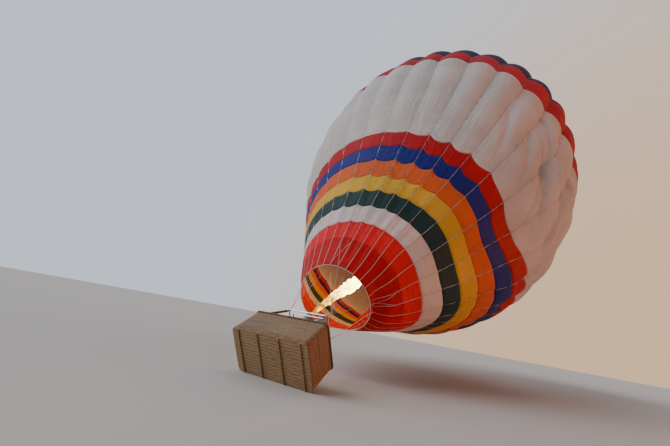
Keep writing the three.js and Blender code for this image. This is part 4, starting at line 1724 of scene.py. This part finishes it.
# ---- basket
@dataclass
class Basket:
    """The woven basket with its padded leather rim, hide foot, cross walls, tanks and sleeves.

    Sizes are metres in the rig's frame, and heights are above the basket's underside unless the
    comment says otherwise.
    """

    half: Span = (0.750, 1.400)
    corner: float = 0.140
    wall: float = 0.045
    foot: float = 0.046
    top: float = 1.1095
    stakes: int = 100
    strand: float = 0.022
    strand_dome: tuple[float, ...] = (0.0, 0.87, 1.0, 0.87)
    over: float = 0.0045

    rim_height: float = 1.1503
    rim_half: Span = (0.055, 0.040)
    rim_power: float = 0.72  # below 1 squares off the rim's round section
    rim_sides: int = 20
    laces: int = 64
    lace_steps: int = 8  # columns of the rim from one lace to the next
    lace_grip: float = 0.10
    lace_bite: float = 0.94
    lace_radius: float = 0.0042
    lace_drop: float = 0.004

    hide_top: float = 0.200
    hide_levels: Span = (0.047, 0.120)
    hide_roll: float = 0.016
    hide_faces: tuple[float, float, float] = (0.002, 0.001, -0.012)  # proud of the wall's face
    hide_columns: int = 480
    stitch_steps: int = 420
    stitch_levels: Span = (0.066, 0.186)
    stitch_proud: float = 0.004
    stitch_radius: float = 0.0016

    partition_top: float = 1.010
    cross: float = 0.500
    cap_radius: float = 0.033
    cap_drop: float = 0.008
    cap_rings: int = 60

    upright_foot: Span = (0.629, 1.279)
    upright_head: Span = (0.4236, 0.7736)
    upright_bend: float = 1.150
    upright_top: float = 2.0883
    uprights: tuple[tuple[str, int, int], ...] = (
        ("upper_left", -1, 1), ("upper_right", -1, -1),
        ("lower_left", 1, 1), ("lower_right", 1, -1),
    )
    sleeve_span: Span = (0.085, 0.93)  # shares of the upright's straight part
    sleeve_end: float = 0.012  # the same, over which its ends are rounded
    sleeve_radii: Span = (0.0335, 0.0085)  # at its ends, and how much more between them
    sleeve_rings: int = 90
    lacing_half: float = 0.012
    lacing_out: float = 0.0445
    lacing_slant: float = 0.008
    lacing_radius: float = 0.0022

    tanks: tuple[Span, ...] = ((-0.510, 0.700), (0.510, 0.700), (-0.510, 1.040), (0.510, 1.040))
    tank_top: float = 0.8533
    tank_height: float = 0.79
    collar: Profile = (
        (0.112, -0.002), (0.112, 0.085), (0.108, 0.089), (0.104, 0.085), (0.104, -0.002),
    )
    collar_lip: Profile = (
        (0.115, 0.080), (0.118, 0.086), (0.112, 0.094), (0.102, 0.090), (0.104, 0.082),
    )
    strap_radius: float = 0.1665
    strap_heights: Span = (0.12, 0.60)  # above the tank's foot
    strap_edge: Profile = (
        (0.0, 0.0), (0.003, 0.002), (0.003, 0.046), (0.0, 0.048), (-0.004, 0.024),
    )
    valves: tuple[Span, ...] = ((0.045, 0.0), (-0.030, 0.050))  # from the tank's middle
    valve_stem: Profile = ((0.016, -0.005), (0.014, 0.030), (0.011, 0.052))
    valve_knob: Profile = ((0.004, 0.050), (0.021, 0.053), (0.021, 0.068), (0.004, 0.071))

    def weave_side(self, name: str, inward: bool, cane: Material) -> None:
        """Makes one face of the woven wall down to the middle of its thickness.

        The strands' height is over times (cos(stakes' phase + pi row) + WEAVE_LIFT), times a half
        round across each strand, and the gaps between the strands lie behind it.

        Args:
            name: The piece's name.
            inward: True for the face inside the basket.
            cane: Its finish.
        """
        columns = 4 * self.stakes
        outline, out = rounded_outline(self.half, self.corner, columns)
        count = round((self.top - self.foot) / self.strand)
        steps = np.arange(4 * count + 1)
        rows = self.foot + (self.top - self.foot) * steps / (4 * count)
        row, quarter = np.divmod(steps, 4)
        bend = np.cos(np.pi * (np.arange(columns) / 4)[None, :] + np.pi * row[:, None])
        dome = np.array(self.strand_dome)[quarter][:, None]
        height = self.over * dome * (bend + WEAVE_LIFT)
        face = height - (1.0 + WEAVE_LIFT) * self.over
        depth = self.wall + face if inward else -face
        depth = np.concatenate([depth, np.full((2, columns), self.wall / 2)])
        level = np.concatenate([rows, rows[[-1, 0]]])
        points = outline[None] - depth[..., None] * out[None]
        length = 4.0 * sum(self.half)
        places = length * np.arange(columns + 1) / columns
        chart = np.meshgrid(np.append(level, level[0]), places, indexing="ij")[::-1]
        points = RIG.lifted(points, level[:, None, None])
        patch = Patch(points, True, True, np.stack(chart, -1), flip=inward)
        # The strand height also sets the cane's painted shade; the gaps get the darkest
        gaps = np.full((2, columns), -WEAVE_LIFT)
        strand = np.concatenate([height / self.over - WEAVE_LIFT, gaps])
        piece = mesh_piece(name, [patch], cane, {"strand_height": strand}, weld=0.0)
        settle(piece, Body.BALLOON, Slot.WICKER, "basket_wall")

    def build_rim(self, leather: Material) -> None:
        """Makes the padded rim, drawn in at each lace, and the laces round it.

        Its section is a circle whose sines and cosines are raised to rim_power, wide and high by
        rim_half, and smaller where a lace grips it and where it is creased.

        Args:
            leather: Its finish.
        """
        columns = self.lace_steps * self.laces
        steps, turn = np.arange(columns), TAU * np.arange(self.rim_sides) / self.rim_sides
        wide, high = self.rim_half
        near = np.maximum(0.0, np.cos(TAU * steps / self.lace_steps)) ** 6
        grip = 1.0 - self.lace_grip * near
        crease = 1.0 + 0.015 * soft_noise(TAU * steps / columns * 5, 0.0, 31, 11)
        across = rounded_power(np.cos(turn), self.rim_power)[:, None]
        lift = rounded_power(np.sin(turn), self.rim_power)[:, None]
        outline, out = rounded_outline(self.half, self.corner, columns)
        share = (grip * crease)[None, :, None]
        centre = outline - (self.wall / 2) * out
        points = centre[None] + wide * across[..., None] * share * out[None]
        heights = self.rim_height + high * lift[..., None] * share
        rim = Patch(RIG.lifted(points, heights), True, True)
        piece = mesh_piece("rim_padding", [rim], leather, weld=0.0)
        settle(piece, Body.BALLOON, Slot.LEATHER, "basket_rim")
        laces = []
        level = self.rim_height + self.lace_bite * high * lift - self.lace_drop
        for at, side in zip(centre[:: self.lace_steps], out[:: self.lace_steps]):
            loop = RIG.lifted(at + self.lace_bite * wide * across * side, level)
            laces += tube(loop, self.lace_radius, 6, closed=True)
        settle(mesh_piece("rim_laces", laces, LACE_DARK.build()), Body.BALLOON, Slot.LEATHER)

    def build_hide(self, hide: Material) -> None:
        """Makes the hide band round the foot, its rolled top edge and its two rows of stitches.

        The band's section runs up its outer face and down its inner one, both rippled by soft
        noise.

        Args:
            hide: Its finish.
        """
        columns, top = self.hide_columns, self.hide_top
        low, middle = self.hide_levels
        outer, edge, inner = self.hide_faces
        levels = np.array([low, middle, top - self.hide_roll, top, top, middle, low])[:, None]
        offsets = np.array([outer, outer, outer, edge, inner, inner, inner])[:, None]
        around = TAU * np.arange(columns)[None] / columns * 6
        ripple = 0.0012 * soft_noise(around, levels * 20, 41, 9)
        outline, out = rounded_outline(self.half, self.corner, columns)
        points = outline[None] + (offsets + ripple)[..., None] * out[None]
        band = Patch(RIG.lifted(points, levels[..., None]), True, True)
        settle(mesh_piece("foot_hide", [band], hide, weld=0.0), Body.BALLOON, Slot.LEATHER)
        outline, out = rounded_outline(self.half, self.corner, self.stitch_steps)
        face = outline + self.stitch_proud * out
        stitches = []
        for level in self.stitch_levels:
            for k in range(0, self.stitch_steps, 2):
                path = RIG.lifted(face[k : k + 2], np.array([level]))
                stitches += tube(path, self.stitch_radius, 5)
        piece = mesh_piece("foot_stitches", stitches, THREAD_WAXED.build())
        settle(piece, Body.BALLOON, Slot.LEATHER)

    def build_caps(self, leather: Material) -> None:
        """Makes the padded caps on the cross walls' top edges, with a ridge every six rings.

        Args:
            leather: Their finish.
        """
        inner_x, inner_y = (size - self.wall - 0.004 for size in self.half)
        level = self.partition_top - self.cap_drop
        share = np.linspace(-1.0, 1.0, self.cap_rings)[:, None]
        half_run, middle = (self.cross + inner_y) / 2, (self.cross - inner_y) / 2
        runs = {
            "cap_across": ((inner_x, 0.0, 0.0), (0.0, self.cross, level)),
            "cap_along": ((0.0, half_run, 0.0), (0.0, middle, level + 0.002)),
        }
        swell = self.cap_radius + 0.0016 * np.cos(np.arange(self.cap_rings) * TAU / 6)
        for name, (reach, centre) in runs.items():
            path = RIG.place(np.array(reach) * share + np.array(centre))
            piece = mesh_piece(name, tube(path, swell, 16), leather)
            settle(piece, Body.BALLOON, Slot.LEATHER)

    def build_sleeves(self, leather: Material) -> None:
        """Makes the padded sleeve of each upright, gathered a little, with its lacing seam.

        Args:
            leather: Their finish.
        """
        seams = []
        start, end = self.sleeve_span
        thin, more = self.sleeve_radii
        share = np.linspace(start, end, self.sleeve_rings)
        round_off = np.minimum(1.0, np.minimum(share - start, end - share) / self.sleeve_end)
        full = thin + more * np.sqrt(np.maximum(round_off, 0.0))
        for name, x, y in self.uprights:
            low = np.array([x * self.upright_foot[0], y * self.upright_foot[1], self.upright_bend])
            high = np.array([x * self.upright_head[0], y * self.upright_head[1], self.upright_top])
            path = low + share[:, None] * (high - low)
            gathers = 0.0011 * np.sin(share * 230.0) + 0.0016 * np.sin(share * 61.0 + x)
            sleeve = tube(RIG.place(path), full + gathers, 20)
            piece = mesh_piece(f"sleeve_{name}", sleeve, leather)
            settle(piece, Body.BALLOON, Slot.LEATHER)
            first, second = path_frames(path)
            for k in range(3, self.sleeve_rings - 3, 3):
                seam = path[k] + self.lacing_out * first[k]
                ends = [seam - self.lacing_half * second[k], seam + self.lacing_half * second[k]]
                ends[1] = ends[1] + self.lacing_slant * unit(high - low)
                seams += tube(RIG.place(np.array(ends)), self.lacing_radius, 5)
        settle(mesh_piece("sleeve_lacing", seams, LACE_CORD.build()), Body.BALLOON, Slot.LOAD_TAPE)

    def build_tank_fittings(self, steel: Material) -> None:
        """Makes each tank's collar, valves and straps.

        Args:
            steel: The collars' finish.
        """
        collars, valves, straps = [], [], []
        strap = [(self.strap_radius + out, height) for out, height in self.strap_edge]
        for x, y in self.tanks:
            top = (x, y, self.tank_top)
            collars += [lathe(self.collar, top), lathe(self.collar_lip, top)]
            for height in self.strap_heights:
                straps.append(lathe(strap, (x, y, self.tank_top - self.tank_height + height)))
            for dx, dy in self.valves:
                valves += post(x + dx, y + dy, self.tank_top, self.valve_stem, 12)
                valves += post(x + dx, y + dy, self.tank_top, self.valve_knob, 16)
        settle(mesh_piece("tank_collars", collars, steel), Body.BALLOON, Slot.TANK_METAL)
        piece = mesh_piece("tank_valves", valves, VALVE_BRASS.build())
        settle(piece, Body.BALLOON, Slot.TANK_METAL)
        settle(mesh_piece("tank_straps", straps, STRAP_DARK.build()), Body.BALLOON, Slot.LOAD_TAPE)

    def build(self, leather: Material, steel: Material) -> None:
        """Makes every piece of the basket.

        Args:
            leather: Finish of the rim and the caps.
            steel: The collars' finish.
        """
        cane = Cane("cane_willow").build()
        self.weave_side("weave_outer", False, cane)
        self.weave_side("weave_inner", True, cane)
        self.build_rim(leather)
        self.build_hide(HIDE_TAN.build())
        self.build_caps(leather)
        self.build_sleeves(SUEDE_SLEEVE.build())
        self.build_tank_fittings(steel)


# ---- burners
@dataclass
class Burner:
    """One of the two burners: can, coil, jets, block and blast valves.

    Sizes are metres in the rig's frame, and heights are above the basket's underside unless the
    comment says otherwise.

    Attributes:
        side: 1 for the left burner, -1 for the right one.
        spread: Distance of its axis from the rig's axis.
        base: Height of the block's underside.
    """

    side: float
    spread: float = 0.260
    base: float = 2.0913
    radius: float = 0.190
    can_foot: float = 2.1513
    can_top: float = 2.5413
    can_rings: int = 40
    bead: float = 0.0035
    bead_heights: Span = (0.07, 0.31)  # above the can's foot
    bead_half: float = 0.008
    plate: Profile = ((0.186, 0.0), (0.186, 0.004), (0.070, 0.006), (0.070, 0.0))
    coil_radius: float = 0.158
    coil_tube: float = 0.008
    coil_turns: int = 6
    riser_inset: float = 0.022
    jet_height: float = 0.050  # above the can's foot
    jets: int = 18
    jet: Profile = ((0.0050, 0.0), (0.0046, 0.018), (0.0028, 0.026))
    jet_rings: tuple[Span, ...] = ((0.092, 0.009), (0.048, 0.008))  # radius and tube
    spokes: int = 4
    spoke_span: Span = (0.02, 0.178)
    block_width: float = 0.118
    plug_span: Span = (0.055, 0.082)
    valve_side: float = 0.028
    valve_half: float = 0.009

    def at(self, x: float, y: float, z: float) -> Place:
        """Returns a place beside the burner's axis, at height z above the basket's underside."""
        return (x, self.side * self.spread + y, z)

    def rod(self, start: Place, end: Place, radius: float | Span, sides: int) -> list[Patch]:
        """Returns a round rod between two places beside the burner's axis."""
        path = RIG.place(np.array([self.at(*start), self.at(*end)]))
        return tube(path, np.array(radius), sides)

    def shell(self) -> list[Patch]:
        """Makes the can with rolled edges and stiffening beads, and its base plate.

        Returns:
            Their patches.
        """
        radius, rim = self.radius, self.can_top - self.can_foot
        height = np.linspace(0.012, rim - 0.012, self.can_rings)
        first, second = self.bead_heights
        beads = bell(height, first, self.bead_half) + bell(height, second, self.bead_half)
        profile = [
            (radius - 0.006, 0.002),
            *zip(radius - 0.0055 + self.bead * beads, height),
            (radius - 0.001, rim - 0.006), (radius - 0.001, rim - 0.001),
            (radius - 0.007, rim), (radius - 0.010, rim - 0.008),
            (radius - 0.009, 0.012), (radius - 0.009, 0.002),
        ]
        centre = self.at(0.0, 0.0, self.can_foot)
        return [lathe(profile, centre, 72), lathe(self.plate, centre, 72)]

    def coil(self) -> list[Patch]:
        """Makes the vaporising coil, an even helix, and its two risers.

        Returns:
            Their patches.
        """
        foot, top, radius = self.can_foot, self.can_top, self.coil_radius
        turn = np.linspace(0.0, TAU * self.coil_turns, 40 * self.coil_turns)
        height = foot + 0.050 + (top - foot - 0.09) * turn / turn[-1]
        path = np.stack([radius * np.cos(turn), radius * np.sin(turn), height], -1)
        path[:, 1] += self.side * self.spread
        made = tube(RIG.place(path), self.coil_tube, 8)
        for x in (radius - self.riser_inset, -radius + self.riser_inset):
            made += self.rod((x, 0.0, foot), (x, 0.0, top - 0.05), self.coil_tube, 8)
        return made

    def jet_ring(self) -> list[Patch]:
        """Makes the rings of jets above the base plate, their spokes and the pilot light.

        Returns:
            Their patches.
        """
        level = self.can_foot + self.jet_height
        made = []
        for radius, thickness in self.jet_rings:
            made += tube(circle(self.at(0.0, 0.0, level), radius), thickness, 8, closed=True)
        outer = self.jet_rings[0][0]
        for turn in TAU * np.arange(self.jets) / self.jets:
            x, y, _ = self.at(outer * np.cos(turn), outer * np.sin(turn), level)
            made += post(x, y, level, self.jet, 6)
        start, end = self.spoke_span
        for turn in TAU * np.arange(self.spokes) / self.spokes:
            x, y, below = np.cos(turn), np.sin(turn), level - 0.012
            made += self.rod((start * x, start * y, below), (end * x, end * y, below), 0.005, 6)
        pilot = (0.0, 0.0, self.can_foot), (0.0, 0.0, level + 0.06)
        return made + self.rod(*pilot, (0.013, 0.011), 12)

    def valve(self) -> list[Patch]:
        """Makes the block, its plugs and the two blast valves' pivots under the can.

        Returns:
            Their patches.
        """
        middle, width = (self.base + self.can_foot) / 2, self.block_width
        size = (width, width, self.can_foot - self.base - 0.002)
        made = block(self.at(0.0, 0.0, middle), size, 0.006)
        near, far = self.plug_span
        for x in (-1.0, 1.0):
            made += self.rod((x * near, 0.0, middle), (x * far, 0.0, middle), 0.013, 12)
        level = self.base - 0.006
        for y in (-self.valve_side, self.valve_side):
            ends = (0.0, y - self.valve_half, level), (0.0, y + self.valve_half, level)
            made += self.rod(*ends, 0.008, 12)
        return made

    def build(self, steel: Material, brass: Material) -> None:
        """Makes the burner's pieces; the can stands for the CAD burner.

        Args:
            steel: The jets' finish.
            brass: The block's finish.
        """
        name = "left" if self.side > 0 else "right"
        heated = Metal(
            f"can_heated_{name}", (0.46, 0.44, 0.42), roughness=0.30,
            stain=(0.16, 0.085, 0.035), stained=0.55,
        ).build()
        piece = mesh_piece(f"can_{name}", self.shell(), heated, weld=0.0)
        settle(piece, Body.BURNERS, Slot.STEEL, f"burner_{name}")
        copper = Metal(f"coil_tube_{name}", (0.36, 0.25, 0.19), roughness=0.42).build()
        settle(mesh_piece(f"coil_{name}", self.coil(), copper), Body.BURNERS, Slot.STEEL)
        settle(mesh_piece(f"jets_{name}", self.jet_ring(), steel), Body.BURNERS, Slot.STEEL)
        settle(mesh_piece(f"valve_{name}", self.valve(), brass), Body.BURNERS, Slot.STEEL)


# ---- flame
@dataclass(frozen=True)
class Flame:
    """The burner's flame: a lumpy tongue that widens from the left burner into the envelope.

    Attributes:
        path: Places that it passes, in the rig's frame.
        radii: Its radius at each of them.
        rings: Rings along it.
        columns: Points of a ring.
        smoothing: Rings over which its path is smoothed, an odd number.
        tip: Shares of the path where it has shrunk to nothing and where it starts to.
    """

    path: tuple[Place, ...] = (
        (0.0, 0.26, 2.46), (-0.10, 0.25, 3.00), (-0.13, 0.20, 4.15), (-0.09, 0.11, 5.45),
        (-0.06, 0.06, 6.62),
    )
    radii: tuple[float, ...] = (0.04, 0.08, 0.14, 0.23, 0.23)
    rings: int = 150
    columns: int = 72
    smoothing: int = 31
    tip: Span = (1.02, 0.93)

    def centreline(self, share: Array) -> Array:
        """Smooths the path by a Hann window, mirrored about its ends.

        Args:
            share: Share of the way along it.

        Returns:
            Its places in the rig's frame.
        """
        stations = np.linspace(0.0, 1.0, len(self.path))
        kernel = np.hanning(self.smoothing) / np.hanning(self.smoothing).sum()
        lines = [np.interp(share, stations, values) for values in np.array(self.path).T]
        half = self.smoothing // 2
        padded = [np.pad(line, half, "reflect", reflect_type="odd") for line in lines]
        return np.stack([np.convolve(line, kernel, "valid") for line in padded], -1)

    def build(self) -> None:
        """Makes the flame of rings whose radius is the profile times one plus soft noise.

        Its share of heat grows along it and with the height of its lumps.
        """
        share = np.linspace(0.0, 1.0, self.rings)
        line = self.centreline(share)
        radius = np.interp(share, np.linspace(0.0, 1.0, len(self.path)), self.radii)
        radius = radius * np.sqrt(smooth_step(*self.tip, share))
        turn = TAU * np.arange(self.columns) / self.columns
        turns, steps = np.meshgrid(turn, share, indexing="xy")
        lumps = 0.16 * soft_noise(turns, 34.0 * steps, 21, 9)
        lumps = lumps + 0.10 * soft_noise(2 * turns, 70.0 * steps, 22, 9)
        first, second = path_frames(line)
        size = (radius[:, None] * np.maximum(0.35, 1.0 + lumps))[..., None]
        cosine, sine = np.cos(turns)[..., None], np.sin(turns)[..., None]
        points = line[:, None] + size * (cosine * first[:, None] + sine * second[:, None])
        heat = np.clip(1.6 * steps - 0.30 + 0.4 * lumps, 0.0, 1.0)
        heat = np.concatenate([heat[:1], heat, heat[-1:]])
        patches = rings_closed(RIG.place(points))
        piece = mesh_piece("burner_flame", patches, Fire("flame").build(), {"glow_share": heat})
        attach(piece, Body.BURNERS.value)
        log.info("%s rides on %s", piece.name, Body.BURNERS.value)


# ---- camera, floor and light
@dataclass(frozen=True)
class Studio:
    """The photograph's camera, a plain pale floor and soft light."""

    eye: Place = (-27.21100, -6.13246, -14.74009)
    right: Place = (0.45923, -0.87150, 0.17201)  # heading of the picture's right-hand side
    up: Place = (-0.34754, 0.00194, 0.93766)
    lens: float = 16.895
    sensor_width: float = 36.0
    clip: Span = (0.1, 2000.0)
    sky_cool: Colour = (0.78, 0.87, 1.0)
    sky_warm: Colour = (1.0, 0.68, 0.42)  # to the object's right
    sky_dim: float = 0.11  # strength behind the camera
    sky_bright: float = 0.92  # strength behind the object
    bright_heading: Place = (0.84, 0.50, 0.20)
    warm_heading: Place = (0.88, -0.42, -0.15)
    fire_colour: Colour = (1.0, 0.40, 0.11)
    fire_place: Place = (-0.05, 0.1, 13.0)  # in the rig's frame
    fire_power: float = 1150.0  # watts
    fire_radius: float = 0.80
    floor_half: float = 260.0

    def camera(self) -> None:
        """Sets the camera at the photograph's place and angle."""
        data = bpy.data.cameras.new("camera")
        data.lens = self.lens
        data.sensor_width = self.sensor_width
        data.clip_start, data.clip_end = self.clip
        camera = bpy.data.objects.new("camera", data)
        right, up = np.array(self.right), np.array(self.up)
        turn = Matrix(np.column_stack([right, up, np.cross(right, up)]).tolist())
        camera.matrix_world = Matrix.Translation(Vector(self.eye)) @ turn.to_4x4()
        bpy.context.scene.collection.objects.link(camera)
        bpy.context.scene.camera = camera

    def floor(self) -> None:
        """Makes the floor, which isn't part of the object."""
        grid = np.linspace(-self.floor_half, self.floor_half, 5)
        x, y = np.meshgrid(grid, grid, indexing="ij")
        points = np.stack([x, y, np.full_like(x, CAD_BOX[0][2])], -1)
        mesh_piece("floor", [Patch(points, flip=True)], FLOOR_PALE.build(), weld=0.0)

    def lamp(self, name: str, towards: Place, power: float, colour: Colour, soft: float) -> None:
        """Adds one soft sun lamp.

        Args:
            name: Its name.
            towards: Direction from the object to the lamp.
            power: Its strength in watts per square metre.
            colour: Its colour.
            soft: Angle that it fills, in degrees.
        """
        data = bpy.data.lights.new(name, "SUN")
        data.energy, data.color, data.angle = power, colour, np.radians(soft)
        lamp = bpy.data.objects.new(name, data)
        lamp.rotation_mode = "QUATERNION"
        lamp.rotation_quaternion = Vector(towards).to_track_quat("Z", "Y")
        bpy.context.scene.collection.objects.link(lamp)

    def fire_glow(self) -> None:
        """Adds the warm light that the flame throws into the envelope."""
        data = bpy.data.lights.new("fire_far", "POINT")
        data.energy, data.color = self.fire_power, self.fire_colour
        data.shadow_soft_size = self.fire_radius
        lamp = bpy.data.objects.new("fire_far", data)
        lamp.location = RIG.place(np.array(self.fire_place))
        bpy.context.scene.collection.objects.link(lamp)

    def sky(self) -> None:
        """Sets a soft sky: pale behind the object, warm to its right, dim behind the camera."""
        board = Board("studio", world=True)
        heading = board.node("TexCoord").outputs["Generated"]
        behind = board.stepped(board.along(heading, self.bright_heading), -0.35, 0.75, 0.0, 1.0)
        warm = board.stepped(board.along(heading, self.warm_heading), 0.15, 0.95, 0.0, 1.0)
        colour = board.blended(warm, self.sky_cool, self.sky_warm)
        power = board.stepped(behind, 0.0, 1.0, self.sky_dim, self.sky_bright)
        light = board.node("Background", None, Color=colour, Strength=power)
        board.tree.links.new(light.outputs[0], board.output.inputs[0])
        bpy.context.scene.world = board.owner

    def light(self) -> None:
        """Sets the sky and the lamps."""
        self.sky()
        self.lamp("key", (-0.74, 0.60, 0.66), 2.3, (0.94, 0.95, 1.0), 45.0)
        self.lamp("warm_side", (0.24, -1.0, 0.03), 2.0, (1.0, 0.25, 0.045), 16.0)
        self.fire_glow()


def dress_frame() -> dict[Slot, Material]:
    """Gives the CAD nodes that stay in view their finishes.

    Returns:
        The finishes by slot.
    """
    finishes = {
        Slot.STEEL: Metal("steel_brushed", (0.56, 0.57, 0.58)).build(),
        Slot.LEATHER: Leather("leather_brown", (0.13, 0.055, 0.026), (0.32, 0.17, 0.085)).build(),
        Slot.TIMBER: Timber("timber_varnished").build(),
        Slot.TANK_METAL: Metal("tank_aluminium", (0.62, 0.63, 0.64), 0.38).build(),
        Slot.LOAD_TAPE: Webbing("webbing_crown", (0.60, 0.56, 0.52)).build(),
        Slot.WICKER: WovenPanel("wicker_panel").build(),
    }
    looks = {slot.value: finish for slot, finish in finishes.items()}
    parts = frame["record"]["subparts"]
    slots = {part["node"]: part["material_slot"] for part in parts if "material_slot" in part}
    for name, node in frame["nodes"].items():
        finish = looks.get(slots.get(name, ""))
        if finish is not None and not node.hide_render:
            node.data.materials.clear()
            node.data.materials.append(finish)
    return finishes


def main() -> None:
    """Builds the balloon's pieces in order."""
    logging.basicConfig(level=logging.INFO, format="%(name)s: %(message)s")
    studio = Studio()
    studio.camera()
    studio.floor()
    studio.light()
    ENVELOPE.build()
    finishes = dress_frame()
    steel = finishes[Slot.STEEL]
    Rigging().build(steel)
    Basket().build(finishes[Slot.LEATHER], steel)
    brass = BLOCK_BRASS.build()
    for side in (1.0, -1.0):
        Burner(side).build(steel, brass)
    Flame().build()


if __name__ == "__main__":
    main()
